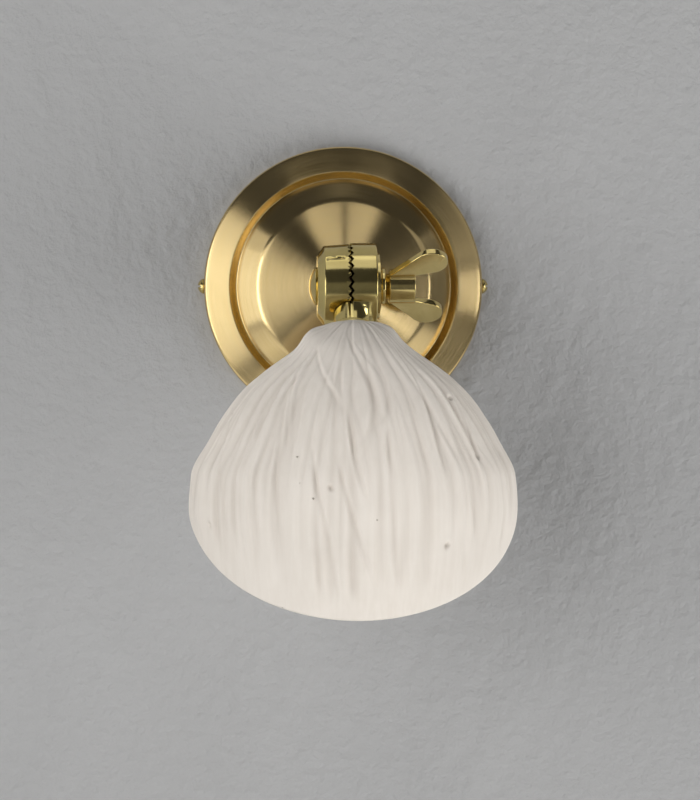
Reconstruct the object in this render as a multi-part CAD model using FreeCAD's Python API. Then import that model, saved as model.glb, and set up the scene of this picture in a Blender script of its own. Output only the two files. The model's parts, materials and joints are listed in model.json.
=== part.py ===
import FreeCAD, Part

# Wall sconce: a round spun brass cover, a toothed tilting joint clamped by a wing nut, and a ceramic
# clam shade that hangs from it. Millimetres. +X runs to the right along the joint's bolt, +Y points
# at the wall and +Z up. The origin is on the wall, midway between the two wall slots.

import math
import os

from FreeCAD import Matrix, Placement, Rotation, Vector

X_AXIS = Vector(1, 0, 0)
Y_AXIS = Vector(0, 1, 0)
ORIGIN = Vector(0, 0, 0)

# ---- fits ---------------------------------------------------------------------------------------
RUNNING_FIT = 0.06  # radial clearance of a turning or sliding fit on the bolt
SCREW_FIT = 0.05  # radial clearance between a screw or nipple and its hole
LOOSE_FIT = 0.3  # clearance between neighbours that don't touch

# ---- spun cover ---------------------------------------------------------------------------------
COVER_R = 55.0
COVER_SHEET = 1.2
COVER_SIDE = 8.2  # height of the side wall off the wall
COVER_LIP_R = 1.4
RING_WIDTH = 10.0  # outer ring, measured along the radius
RING_RISE = 2.7
STEP_WIDTH = 2.6  # the step down inside the ring
STEP_DROP = 2.4
SHOULDER_WIDTH = 8.2
SHOULDER_RISE = 5.6
SHOULDER_ROUND = 7.0
CONE_RISE = 5.2
LAND_R = 10.0  # flat middle that the neck seats on
SMALL_ROUND = 0.5

# ---- side screws --------------------------------------------------------------------------------
SIDE_SCREW_R = 1.5
SIDE_SCREW_LENGTH = 5.0
SIDE_HEAD_R = 2.95
SIDE_HEAD_H = 2.5
SIDE_SLOT_W = 0.7
SIDE_SLOT_DEPTH = 1.1

# ---- wall bracket -------------------------------------------------------------------------------
BRACKET_SHEET = 1.5
STRAP_WIDTH = 20.0
BRACKET_DISC_R = 30.0
WALL_SLOT_PITCH = 60.3
WALL_SLOT_W = 4.5
WALL_SLOT_LENGTH = 9.0
CABLE_HOLE_R = 8.0
BUSH_WALL = 1.5
BUSH_FLANGE_W = 1.5
BUSH_FLANGE_T = 1.3

# ---- hollow threaded nipples --------------------------------------------------------------------
NIPPLE_R = 5.0
NIPPLE_BORE_R = 3.6
NIPPLE_GRIP = 7.0  # length screwed into a neck
THREAD_RELIEF = 0.5  # drilled depth beyond a nipple's end
LOCKNUT_FLATS = 14.0
LOCKNUT_H = 3.0
LOCK_WASHER_R = 8.0
LOCK_WASHER_T = 1.2
ARM_WASHER_R = 9.0
ARM_WASHER_T = 1.5
NIPPLE_PROUD = 1.0  # thread showing past a locknut

# ---- earth connection ---------------------------------------------------------------------------
TAG_R = 8.2
TAG_T = 0.8
TAG_TAB_W = 5.0
TAG_TAB_REACH = 13.5
EARTH_SCREW_X = 17.0
EARTH_SCREW_Z = 13.0
EARTH_SCREW_R = 2.0
EARTH_HEAD_R = 3.9
EARTH_HEAD_H = 2.6
EARTH_SLOT_W = 1.0
EARTH_SLOT_DEPTH = 1.2
EARTH_WASHER_R = 4.4
EARTH_WASHER_T = 0.9
EARTH_TAG_REACH = 9.5
EARTH_LOOP_INSET = 6.3  # from the cover's shoulder in to the top of the lead's loop

# ---- terminal block -----------------------------------------------------------------------------
BLOCK_WIDTH = 19.0
BLOCK_LENGTH = 15.0
BLOCK_HEIGHT = 10.5
BLOCK_DROP = 11.0  # from the middle of the cover down to the block's top end
WAY_PITCH = 9.4
INSERT_R = 2.6
INSERT_BORE_R = 1.55
INSERT_MARGIN = 1.2  # insert's ends inside the block's ends
CLAMP_SCREW_R = 1.3
CLAMP_HEAD_R = 1.8
CLAMP_HEAD_H = 1.2
CLAMP_PITCH = 7.0
CLAMP_SLOT_W = 0.5
FIXING_SCREW_R = 1.2
FIXING_HEAD_R = 1.7
FIXING_HEAD_H = 1.4

# ---- toothed joint ------------------------------------------------------------------------------
JOINT_REACH = 55.0  # from the wall to the bolt's axis
TOOTH_COUNT = 32
TOOTH_DEPTH = 1.1
CREST_GAP = 0.15  # between the crests of the two halves
CREST_FLAT = 0.06  # flat on a crest, as a share of the tooth pitch
FRICTION_T = 1.0
CAVITY_R = 12.3
BOSS_R = 5.5
ARM_DRUM_R = 16.0  # at the teeth
ARM_DRUM_TAPER = 0.7  # smaller at the chamfer
ARM_DRUM_W = 12.4
ARM_CHAMFER_AXIAL = 2.6
ARM_CHAMFER_RADIAL = 3.6
ARM_END_WALL = 3.0
INDEX_MARK_LENGTH = 5.3
INDEX_MARK_W = 0.35
INDEX_MARK_DEPTH = 0.25
INDEX_MARK_X = 5.6
INDEX_MARK_ANGLE = 42.0  # above level, on the room side
SHADE_DRUM_R = 16.4
SHADE_DRUM_W = 10.1
SHADE_DRUM_ROUND = 0.8
SHADE_END_WALL = 2.5
NECK_R = 6.8
NECK_CLEARANCE = 0.5  # neck to the other half's drum
NECK_END_ROUND = 0.6
WIRE_BORE_R = 3.8
WIRE_BORE_SHIFT = 2.0  # off the neck's axis, away from the middle plane
NECK_COLLAR_R = 9.5
NECK_COLLAR_T = 3.0
SHADE_NECK_LENGTH = 26.0
SHADE_NECK_DROP = 45.0  # degrees below level, into the room

# ---- bolt, clamp and wing nut -------------------------------------------------------------------
BOLT_R = 3.0
BOLT_HEAD_R = 7.2
BOLT_HEAD_H = 3.1
BOLT_END_INSET = 0.8  # bolt's end inside the nut's end
CLAMP_WASHER_R = 12.6
CLAMP_WASHER_SHEET = 1.1
CLAMP_WASHER_DISH = 0.8
CLAMP_WASHER_LAND = 0.9
CLAMP_COLLAR_R = 7.05
CLAMP_COLLAR_T = 1.5
NUT_FACE_R = 4.8
NUT_FACE_T = 1.4
NUT_HUB_R = 6.5
NUT_HUB_LENGTH = 10.0
WING_SHEET = 2.6
WING_SPAN = 22.4  # from the axis to the wing's outermost point
WING_REACH = 21.5  # along the axis, from the hub's start
WING_TIP_R = 6.2
WING_ROOT = 8.2
WING_ROUND = 0.45
WING_TURN = 54.0  # degrees, upper wing towards the room

# ---- ceramic shade ------------------------------------------------------------------------------
SHADE_WIDTH = 122.6
SHADE_DEPTH = 96.0  # front to back, level
SHADE_HEIGHT = 108.2  # from the top of the crown to the lowest point of the rim
SHADE_WALL = 4.0
MOUTH_TILT = 38.5  # degrees: the open mouth faces down and towards the wall
SHADE_RIM_ROUND = 1.2
# Level ovals down the shade: drop from the crown as a share of SHADE_HEIGHT, half width as a share
# of SHADE_WIDTH / 2, then front and back reach as shares of SHADE_DEPTH / 2.
SHADE_OUTLINE = (
    (0.000, 0.024, 0.177, -0.115),
    (0.011, 0.126, 0.281, -0.010),
    (0.033, 0.194, 0.375, 0.077),
    (0.070, 0.281, 0.479, 0.177),
    (0.116, 0.388, 0.579, 0.292),
    (0.172, 0.525, 0.677, 0.427),
    (0.236, 0.658, 0.760, 0.573),
    (0.329, 0.788, 0.860, 0.750),
    (0.422, 0.886, 0.927, 0.875),
    (0.532, 0.982, 0.979, 0.958),
    (0.643, 1.000, 1.000, 1.000),
    (0.772, 0.973, 1.000, 1.000),
    (0.902, 0.937, 0.971, 0.958),
    (1.034, 0.876, 0.917, 0.875),
)
# The main grooves between the ribs, in degrees round the shade from its front.
GROOVE_ANGLES = (
    -95, -86, -77, -66, -57, -48, -38, -30, -20, -11, -3, 7, 15, 25, 34, 44, 52, 62, 71, 81, 90, 99,
    112, 128, 143, 160, 180, 200, 217, 232, 248,
)  # fmt: skip
GROOVE_DEPTH = 0.65
GROOVE_HALF_WIDTH = 1.8
GROOVE_START = 11.0  # mean half width of the oval where the grooves begin
GROOVE_FULL = 20.0  # where they are full deep
GROOVE_WIDE = 44.0  # and where they are full wide
LIP_PLAIN = 7.0  # smooth band above the rim
LIP_FADE = 10.0
SKIN_POINTS = 216
SKIN_ROWS = 44
SEAT_DROP = 0.075  # the middle of the neck's seat, in the same shares
SEAT_BACK = 0.156
SEAT_R = 11.0
SEAT_THICKNESS = 5.0
CAP_R = 10.0
CAP_T = 2.0
CAP_ROUND = 0.6
SEAL_R = 9.6
SEAL_T = 1.0
INNER_WASHER_R = 9.6
INNER_WASHER_T = 1.2
SHADE_LOCKNUT_H = 3.5

# ---- lampholder and lamp ------------------------------------------------------------------------
BRIDGE_R = 9.8
BRIDGE_T = 1.5
HOLDER_R = 10.0
HOLDER_LENGTH = 16.0
HOLDER_RECESS_R = 6.2
HOLDER_RECESS_DEPTH = 3.0
SOCKET_W = 15.4
SOCKET_T = 7.4
SOCKET_DEPTH = 10.0
PIN_PITCH = 9.0
PIN_R = 0.5
PIN_LENGTH = 4.0
CONTACT_R = 1.3
CONTACT_BORE_R = 0.7
CONTACT_LENGTH = 3.2
HOLDER_SCREW_R = 1.2
HOLDER_SCREW_HEAD_R = 2.0
HOLDER_SCREW_HEAD_H = 1.3
HOLDER_SCREW_LENGTH = 6.0
HOLDER_SCREW_PITCH = 15.0
LAMP_GAP = 0.4  # around the lamp's pinch in the socket
LAMP_COLLAR_R = 7.6
LAMP_COLLAR_H = 4.0
LAMP_COVER_R = 7.4
LAMP_COVER_WALL = 0.9
LAMP_ROOM = 13.3  # from the lamp's tip to the inside of the shade
LAMP_CORE_R = 2.4
LAMP_CORE_GAP = 7.0  # from the core's end to the lamp's tip

# ---- leads --------------------------------------------------------------------------------------
LEAD_R = 0.9
LEAD_HALF_PITCH = 1.1
LEAD_SHIFT = 2.4  # from the neck's axis into its own half of the joint
LEAD_SLACK = 10.0  # from the bolt's axis to the leads' ends in the joint

# ---- places worked out from the sizes above -----------------------------------------------------
RING_INNER_R = COVER_R - RING_WIDTH
VALLEY_R = RING_INNER_R - STEP_WIDTH
SHOULDER_R = VALLEY_R - SHOULDER_WIDTH
RING_TOP = COVER_SIDE + RING_RISE
VALLEY_TOP = RING_TOP - STEP_DROP
SHOULDER_TOP = VALLEY_TOP + SHOULDER_RISE
COVER_TOP = SHOULDER_TOP + CONE_RISE

ARM_NECK_LENGTH = JOINT_REACH - COVER_TOP - NECK_COLLAR_T
TOOTH_PITCH_ANGLE = 2 * math.pi / TOOTH_COUNT

STACK_CAP = SHADE_NECK_LENGTH
STACK_OUTER_SEAL = STACK_CAP + CAP_T
STACK_SEAT = STACK_OUTER_SEAL + SEAL_T
STACK_INNER_SEAL = STACK_SEAT + SEAT_THICKNESS
STACK_INNER_WASHER = STACK_INNER_SEAL + SEAL_T
STACK_LOCKNUT = STACK_INNER_WASHER + INNER_WASHER_T
STACK_BRIDGE = STACK_LOCKNUT + SHADE_LOCKNUT_H
STACK_HOLDER = STACK_BRIDGE + BRIDGE_T
HOLDER_FRONT = STACK_HOLDER + HOLDER_LENGTH
SOCKET_FLOOR = HOLDER_FRONT - SOCKET_DEPTH
LAMP_PINCH_BACK = SOCKET_FLOOR + LAMP_GAP
LAMP_COVER_BACK = HOLDER_FRONT + LAMP_COLLAR_H
WIDEST_DROP = max(SHADE_OUTLINE, key=lambda station: station[1])[0]  # where the skin stands upright

CLAMP_START = SHADE_DRUM_W
CLAMP_WASHER_OUT = CLAMP_START + CLAMP_WASHER_DISH + CLAMP_WASHER_SHEET
CLAMP_COLLAR_OUT = CLAMP_WASHER_OUT + CLAMP_COLLAR_T
NUT_HUB_START = CLAMP_COLLAR_OUT + NUT_FACE_T
NUT_HUB_END = NUT_HUB_START + NUT_HUB_LENGTH

# A neck's own frame: its axis along +Z from the bolt's axis, the bolt along X.
PIVOT = Vector(0, -JOINT_REACH, 0)
AT_JOINT = Placement(PIVOT, Rotation())
ARM_TURN = -90.0
SHADE_TURN = 90.0 + SHADE_NECK_DROP
ON_ARM_NECK = Placement(PIVOT, Rotation(X_AXIS, ARM_TURN))
ON_SHADE_NECK = Placement(PIVOT, Rotation(X_AXIS, SHADE_TURN))


# ---- shared shapes ------------------------------------------------------------------------------
def rod(radius, start, end, x=0.0, y=0.0):
    """A cylinder along Z."""
    return Part.makeCylinder(radius, end - start, Vector(x, y, start))


def ring(outer, inner, start, end):
    return rod(outer, start, end).cut(rod(inner, start, end))


def cross_rod(radius, start, end):
    """A cylinder along X."""
    return Part.makeCylinder(radius, end - start, Vector(start, 0, 0), X_AXIS)


def block(x_size, y_size, z_size, centre):
    corner = centre - Vector(x_size, y_size, z_size) * 0.5
    return Part.makeBox(x_size, y_size, z_size, corner)


def turned(outline, axis):
    """A closed outline in the XY plane, turned a full circle about an axis through the origin."""
    corners = [Vector(a, b, 0) for a, b in outline]
    return Part.Face(Part.makePolygon(corners + corners[:1])).revolve(ORIGIN, axis, 360)


def rounded_path(points, radii):
    """Straight runs joined by tangent arcs; a radius of 0 leaves its corner sharp."""
    edges = []
    start = points[0]
    for before, corner, after, radius in zip(points, points[1:], points[2:], radii):
        inward = (before - corner).normalize()
        outward = (after - corner).normalize()
        half_turn = (math.pi - inward.getAngle(outward)) / 2
        reach = radius * math.tan(half_turn)
        if reach < 1e-6:
            edges.append(Part.LineSegment(start, corner).toShape())
            start = corner
            continue
        arc_start = corner + inward * reach
        arc_end = corner + outward * reach
        bisector = (inward + outward).normalize()
        arc_middle = corner + bisector * (radius / math.cos(half_turn) - radius)
        edges.append(Part.LineSegment(start, arc_start).toShape())
        edges.append(Part.Arc(arc_start, arc_middle, arc_end).toShape())
        start = arc_end
    edges.append(Part.LineSegment(start, points[-1]).toShape())
    return Part.Wire(edges)


def lead(name, points):
    """An insulated lead: each bend is as large as its two runs allow."""
    radii = []
    for before, corner, after in zip(points, points[1:], points[2:]):
        shorter = min((before - corner).Length, (after - corner).Length)
        half_turn = (math.pi - (before - corner).getAngle(after - corner)) / 2
        radii.append(0.45 * shorter / math.tan(half_turn))
    path = rounded_path(points, radii)
    section = Part.Wire(Part.makeCircle(LEAD_R, points[0], points[1] - points[0]))
    solid = path.makePipeShell([section], True, False)
    expected = math.pi * LEAD_R**2 * path.Length
    print(name, "bends", [round(r, 1) for r in radii], "volume ratio", round(solid.Volume / expected, 4))
    return solid


def hexagon_nut(flats, bore, start, end):
    corner_r = flats / math.sqrt(3)
    corners = [
        Vector(corner_r * math.cos(math.radians(60 * k)), corner_r * math.sin(math.radians(60 * k)), start)
        for k in range(7)
    ]
    prism = Part.Face(Part.makePolygon(corners)).extrude(Vector(0, 0, end - start))
    corner_cone = turned(
        [
            (0, start),
            (flats / 2, start),
            (corner_r + SMALL_ROUND, start + SMALL_ROUND),
            (corner_r + SMALL_ROUND, end - SMALL_ROUND),
            (flats / 2, end),
            (0, end),
        ],
        Y_AXIS,
    )
    corner_cone.rotate(ORIGIN, X_AXIS, 90)
    return prism.common(corner_cone).cut(rod(bore, start, end))


def domed_head(radius, height, start):
    """A round head along +Z: a cap of a sphere on a short straight rim."""
    rim = height * 0.25
    rise = height - rim
    sphere_r = (radius**2 + rise**2) / (2 * rise)
    ball = Part.makeSphere(sphere_r, Vector(0, 0, start + height - sphere_r))
    return rod(radius, start, start + height).common(ball)


def placed(shape, placement):
    result = shape.copy()
    result.Placement = placement.multiply(result.Placement)
    return result


def facing_room(shape, x, depth, z):
    """Moves a shape built along +Z so that it points into the room from (x, depth off the wall, z)."""
    return placed(shape, Placement(Vector(x, -depth, z), Rotation(X_AXIS, 90)))


# ---- cover and what fixes it --------------------------------------------------------------------
def cover_plate():
    bore = NIPPLE_R + SCREW_FIT
    outline = [
        Vector(bore, -COVER_TOP, 0),
        Vector(LAND_R, -COVER_TOP, 0),
        Vector(SHOULDER_R, -SHOULDER_TOP, 0),
        Vector(VALLEY_R, -VALLEY_TOP, 0),
        Vector(RING_INNER_R, -RING_TOP, 0),
        Vector(COVER_R, -COVER_SIDE, 0),
        Vector(COVER_R, 0, 0),
    ]
    rounds = [SMALL_ROUND, SHOULDER_ROUND, SMALL_ROUND, SMALL_ROUND, COVER_LIP_R]
    sheet = rounded_path(outline, rounds).makeOffset2D(-COVER_SHEET, 2, True, True, False)
    shell = sheet.revolve(ORIGIN, Y_AXIS, 360)
    screw_hole = Part.makeCylinder(
        SIDE_SCREW_R + LOOSE_FIT, 2 * COVER_R + 10, Vector(-COVER_R - 5, -COVER_SIDE / 2, 0), X_AXIS
    )
    return shell.cut(screw_hole)


def side_screw(side):
    head = domed_head(SIDE_HEAD_R, SIDE_HEAD_H, 0)
    slot = block(
        SIDE_SLOT_W, 2 * SIDE_HEAD_R + 1, 2 * SIDE_SLOT_DEPTH, Vector(0, 0, SIDE_HEAD_H)
    )
    shank = rod(SIDE_SCREW_R, -SIDE_SCREW_LENGTH, SMALL_ROUND)
    screw = head.fuse(shank).cut(slot)
    turn = Rotation(Y_AXIS, 90 * side)
    return placed(screw, Placement(Vector(side * COVER_R, -COVER_SIDE / 2, 0), turn))


def side_screws():
    return Part.makeCompound([side_screw(side) for side in (-1, 1)])


def ear_face():
    """Distance from the middle to the outer face of an ear, just inside the cover's side wall."""
    inner_r = COVER_R - COVER_SHEET - LOOSE_FIT
    return math.sqrt(inner_r**2 - (STRAP_WIDTH / 2) ** 2)


def wall_slot(x):
    half_run = (WALL_SLOT_LENGTH - WALL_SLOT_W) / 2
    ends = [rod(WALL_SLOT_W / 2, -1, BRACKET_SHEET + 1, x + side * half_run) for side in (-1, 1)]
    middle = block(2 * half_run, WALL_SLOT_W, BRACKET_SHEET + 2, Vector(x, 0, BRACKET_SHEET / 2))
    return ends[0].fuse(ends[1]).fuse(middle)


def wall_bracket():
    """Built lying down with its back on Z = 0, then stood against the wall."""
    reach = ear_face()
    ear_height = COVER_SIDE - COVER_SHEET - LOOSE_FIT
    strap = block(2 * reach, STRAP_WIDTH, BRACKET_SHEET, Vector(0, 0, BRACKET_SHEET / 2))
    plate = strap.fuse(rod(BRACKET_DISC_R, 0, BRACKET_SHEET))
    for side in (-1, 1):
        middle = Vector(side * (reach - BRACKET_SHEET / 2), 0, ear_height / 2)
        plate = plate.fuse(block(BRACKET_SHEET, STRAP_WIDTH, ear_height, middle))
        plate = plate.cut(wall_slot(side * WALL_SLOT_PITCH / 2))
    plate = plate.cut(rod(CABLE_HOLE_R, -1, BRACKET_SHEET + 1))
    plate = plate.cut(rod(EARTH_SCREW_R + SCREW_FIT, -1, BRACKET_SHEET + 1, EARTH_SCREW_X, EARTH_SCREW_Z))
    plate = plate.cut(rod(FIXING_SCREW_R + SCREW_FIT, -1, BRACKET_SHEET + 1, 0, block_middle_z()))
    ear_holes = cross_rod(SIDE_SCREW_R + SCREW_FIT, -reach - 1, reach + 1)
    ear_holes.translate(Vector(0, 0, COVER_SIDE / 2))
    return facing_room(plate.cut(ear_holes).removeSplitter(), 0, 0, 0)


def cable_bush():
    flange_back = BRACKET_SHEET
    bush_r = CABLE_HOLE_R - SCREW_FIT
    body = rod(bush_r, 0, flange_back + BUSH_FLANGE_T)
    flange = rod(CABLE_HOLE_R + BUSH_FLANGE_W, flange_back, flange_back + BUSH_FLANGE_T)
    bore = rod(CABLE_HOLE_R - BUSH_WALL, -1, flange_back + BUSH_FLANGE_T + 1)
    return facing_room(body.fuse(flange).cut(bore), 0, 0, 0)


# ---- terminal block -----------------------------------------------------------------------------
def block_middle_z():
    return -BLOCK_DROP - BLOCK_LENGTH / 2


def way_depth():
    """Height of the wire ways off the wall."""
    return BRACKET_SHEET + BLOCK_HEIGHT / 2


def way_places():
    return [side * WAY_PITCH / 2 for side in (-1, 1)]


def clamp_places():
    return [block_middle_z() + side * CLAMP_PITCH / 2 for side in (-1, 1)]


def terminal_block():
    middle = Vector(0, -way_depth(), block_middle_z())
    body = block(BLOCK_WIDTH, BLOCK_HEIGHT, BLOCK_LENGTH, middle)
    body = body.makeFillet(SMALL_ROUND, body.Edges)
    top = -BLOCK_DROP
    bottom = top - BLOCK_LENGTH
    for x in way_places():
        body = body.cut(rod(INSERT_R + SCREW_FIT, bottom - 1, top + 1, x, -way_depth()))
        for z in clamp_places():
            well = rod(CLAMP_HEAD_R + SCREW_FIT, 0, BLOCK_HEIGHT)
            body = body.cut(facing_room(well, x, way_depth(), z))
    well = rod(FIXING_SCREW_R + SCREW_FIT, 0, BLOCK_HEIGHT)
    return body.cut(facing_room(well, 0, BRACKET_SHEET, block_middle_z()))


def terminal_insert(x):
    top = -BLOCK_DROP - INSERT_MARGIN
    bottom = -BLOCK_DROP - BLOCK_LENGTH + INSERT_MARGIN
    tube = ring(INSERT_R, INSERT_BORE_R, bottom, top)
    tube.translate(Vector(x, -way_depth(), 0))
    for z in clamp_places():
        tube = tube.cut(facing_room(rod(CLAMP_SCREW_R + SCREW_FIT, 0, INSERT_R + 1), x, way_depth(), z))
    return tube


def terminal_inserts():
    return Part.makeCompound([terminal_insert(x) for x in way_places()])


def clamp_screw(x, z):
    tip = INSERT_BORE_R
    head_top = BLOCK_HEIGHT / 2 - SMALL_ROUND
    shank = rod(CLAMP_SCREW_R, tip, head_top)
    head = rod(CLAMP_HEAD_R, head_top - CLAMP_HEAD_H, head_top)
    slot = block(2 * CLAMP_HEAD_R + 1, CLAMP_SLOT_W, CLAMP_HEAD_H, Vector(0, 0, head_top))
    return facing_room(shank.fuse(head).cut(slot), x, way_depth(), z)


def terminal_screws():
    return Part.makeCompound([clamp_screw(x, z) for x in way_places() for z in clamp_places()])


def terminal_fixing():
    shank = rod(FIXING_SCREW_R, 0, BRACKET_SHEET + BLOCK_HEIGHT)
    head_back = BRACKET_SHEET + BLOCK_HEIGHT
    head = rod(FIXING_HEAD_R, head_back, head_back + FIXING_HEAD_H)
    slot = block(2 * FIXING_HEAD_R + 1, CLAMP_SLOT_W, FIXING_HEAD_H, Vector(0, 0, head_back + FIXING_HEAD_H))
    return facing_room(shank.fuse(head).cut(slot), 0, 0, block_middle_z())


# ---- neck fixing inside the cover, all on the neck's own axis ----------------------------------
def depth_on_neck(depth):
    """A distance off the wall, as a distance from the bolt's axis."""
    return JOINT_REACH - depth


COVER_INSIDE = COVER_TOP - COVER_SHEET
TAG_BACK = COVER_INSIDE - ARM_WASHER_T - TAG_T
LOCK_WASHER_BACK = TAG_BACK - LOCK_WASHER_T
ARM_LOCKNUT_BACK = LOCK_WASHER_BACK - LOCKNUT_H
ARM_NIPPLE_BACK = ARM_LOCKNUT_BACK - NIPPLE_PROUD


def neck_collar():
    start = depth_on_neck(COVER_TOP + NECK_COLLAR_T)
    collar = ring(NECK_COLLAR_R, NIPPLE_R + SCREW_FIT, start, start + NECK_COLLAR_T)
    edges = [e for e in collar.Edges if isinstance(e.Curve, Part.Circle) and e.Curve.Radius > NIPPLE_R + 1]
    return placed(collar.makeFillet(NECK_END_ROUND, edges), ON_ARM_NECK)


def arm_nipple():
    start = ARM_NECK_LENGTH - NIPPLE_GRIP
    return placed(ring(NIPPLE_R, NIPPLE_BORE_R, start, depth_on_neck(ARM_NIPPLE_BACK)), ON_ARM_NECK)


def inside_cover(outer, front, thickness):
    """A ring on the nipple, its face towards the room at the given distance off the wall."""
    start = depth_on_neck(front)
    return placed(ring(outer, NIPPLE_R + SCREW_FIT, start, start + thickness), ON_ARM_NECK)


def arm_washer():
    return inside_cover(ARM_WASHER_R, COVER_INSIDE, ARM_WASHER_T)


def arm_lock_washer():
    return inside_cover(LOCK_WASHER_R, TAG_BACK, LOCK_WASHER_T)


def arm_locknut():
    start = depth_on_neck(LOCK_WASHER_BACK)
    nut = hexagon_nut(LOCKNUT_FLATS, NIPPLE_R + SCREW_FIT, start, start + LOCKNUT_H)
    return placed(nut, ON_ARM_NECK)


# ---- earth screw, tags and lead -----------------------------------------------------------------
EARTH_TAG_BACK = BRACKET_SHEET + EARTH_WASHER_T


def earth_screw():
    head_back = EARTH_TAG_BACK + TAG_T
    shank = rod(EARTH_SCREW_R, 0, head_back)
    slot = block(2 * EARTH_HEAD_R + 1, EARTH_SLOT_W, 2 * EARTH_SLOT_DEPTH, Vector(0, 0, head_back + EARTH_HEAD_H))
    screw = shank.fuse(domed_head(EARTH_HEAD_R, EARTH_HEAD_H, head_back)).cut(slot)
    return facing_room(screw, EARTH_SCREW_X, 0, EARTH_SCREW_Z)


def earth_washer():
    washer = ring(EARTH_WASHER_R, EARTH_SCREW_R + SCREW_FIT, BRACKET_SHEET, EARTH_TAG_BACK)
    return facing_room(washer, EARTH_SCREW_X, 0, EARTH_SCREW_Z)


def ring_tag(outer, hole, reach, back):
    """A ring with a tab along local +Y, lying on the plane Z = back."""
    tab = block(TAG_TAB_W, reach, TAG_T, Vector(0, reach / 2, back + TAG_T / 2))
    return rod(outer, back, back + TAG_T).fuse(tab).cut(rod(hole, back - 1, back + TAG_T + 1))


def crimp(reach, back):
    """The rolled barrel at the end of a tab, standing on it."""
    barrel = Part.makeCylinder(TAG_TAB_W / 3, TAG_TAB_W, Vector(0, reach - TAG_TAB_W, 0), Y_AXIS)
    bore = Part.makeCylinder(LEAD_R + SCREW_FIT, TAG_TAB_W, Vector(0, reach - TAG_TAB_W, 0), Y_AXIS)
    barrel = barrel.cut(bore)
    barrel.translate(Vector(0, 0, back))
    return barrel


def cover_tag():
    tag = ring_tag(TAG_R, NIPPLE_R + SCREW_FIT, TAG_TAB_REACH, TAG_BACK)
    return facing_room(tag.fuse(crimp(TAG_TAB_REACH, TAG_BACK - TAG_TAB_W / 3 + SCREW_FIT)), 0, 0, 0)


def screw_tag():
    tag = ring_tag(EARTH_WASHER_R, EARTH_SCREW_R + SCREW_FIT, EARTH_TAG_REACH, EARTH_TAG_BACK)
    barrel = crimp(EARTH_TAG_REACH, EARTH_TAG_BACK + TAG_T + TAG_TAB_W / 3 - SCREW_FIT)
    return facing_room(tag.fuse(barrel), EARTH_SCREW_X, 0, EARTH_SCREW_Z)


def earth_tags():
    return Part.makeCompound([cover_tag(), screw_tag()])


def earth_lead():
    high = TAG_BACK - TAG_TAB_W / 3 + SCREW_FIT
    low = EARTH_TAG_BACK + TAG_T + TAG_TAB_W / 3 - SCREW_FIT
    start = Vector(0, -high, TAG_TAB_REACH - TAG_TAB_W)
    end = Vector(EARTH_SCREW_X, -low, EARTH_SCREW_Z + EARTH_TAG_REACH - TAG_TAB_W)
    top = SHOULDER_R - EARTH_LOOP_INSET
    across = (end.x - start.x) / 3
    return lead(
        "earth_lead",
        [
            start,
            Vector(start.x, start.y, top - 4 * LEAD_R),
            Vector(start.x + across, (2 * start.y + end.y) / 3, top),
            Vector(end.x, end.y, top),
            end,
        ],
    )


# ---- leads into the joint -----------------------------------------------------------------------
def feed_lead(side):
    wire_end = INSERT_MARGIN + BLOCK_DROP + 2 * LEAD_R
    in_nipple = side * LEAD_HALF_PITCH
    in_joint = in_nipple - LEAD_SHIFT
    nipple_front = JOINT_REACH - ARM_NECK_LENGTH + NIPPLE_GRIP
    return lead(
        "feed_lead",
        [
            Vector(side * WAY_PITCH / 2, -way_depth(), -wire_end),
            Vector(side * WAY_PITCH / 2, -way_depth(), -BLOCK_DROP + 2 * LEAD_R),
            Vector(in_nipple, -way_depth(), 0),
            Vector(in_nipple, -nipple_front + 2 * LEAD_R, 0),
            Vector(in_joint, -JOINT_REACH + SHADE_DRUM_R + 2 * LEAD_R, 0),
            Vector(in_joint, -JOINT_REACH + LEAD_SLACK, 0),
        ],
    )


def feed_leads():
    return Part.makeCompound([feed_lead(side) for side in (-1, 1)])


def lamp_lead(side):
    in_nipple = side * LEAD_HALF_PITCH
    in_joint = in_nipple + LEAD_SHIFT
    spread = side * (PIN_PITCH / 2 - CONTACT_R)
    points = [
        Vector(in_joint, 0, LEAD_SLACK),
        Vector(in_joint, 0, ARM_DRUM_R),
        Vector(in_nipple, 0, SHADE_NECK_LENGTH - 2 * LEAD_R),
        Vector(in_nipple, 0, STACK_LOCKNUT),
        Vector(spread, 0, contact_back() - THREAD_RELIEF / 2),
    ]
    return lead("lamp_lead", [ON_SHADE_NECK.multVec(point) for point in points])


def lamp_leads():
    return Part.makeCompound([lamp_lead(side) for side in (-1, 1)])


# ---- toothed halves, each in its neck's own frame -----------------------------------------------
def tooth_grooves(side, outer_r, half_turn):
    """V grooves that all run out to one point on the bolt's axis, so their flanks are flat."""
    face_x = side * CREST_GAP / 2
    tool_r = outer_r + 1
    depth = TOOTH_DEPTH * tool_r / outer_r
    above = 0.5
    half_width = tool_r * math.tan(TOOTH_PITCH_ANGLE / 2 * (1 - CREST_FLAT))
    tip = Vector(face_x, 0, 0)
    root = Vector(face_x + side * depth, 0, tool_r)
    left = Vector(face_x - side * above, -half_width * (1 + above / depth), tool_r)
    right = Vector(face_x - side * above, half_width * (1 + above / depth), tool_r)
    faces = [
        Part.Face(Part.makePolygon(corners + corners[:1]))
        for corners in ([root, left, right], [tip, left, root], [tip, root, right], [tip, right, left])
    ]
    groove = Part.makeSolid(Part.makeShell(faces))
    if groove.Volume < 0:
        groove.reverse()
    grooves = []
    for k in range(TOOTH_COUNT):
        one = groove.copy()
        one.rotate(ORIGIN, X_AXIS, math.degrees((k + half_turn) * TOOTH_PITCH_ANGLE))
        grooves.append(one)
    return grooves


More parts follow.
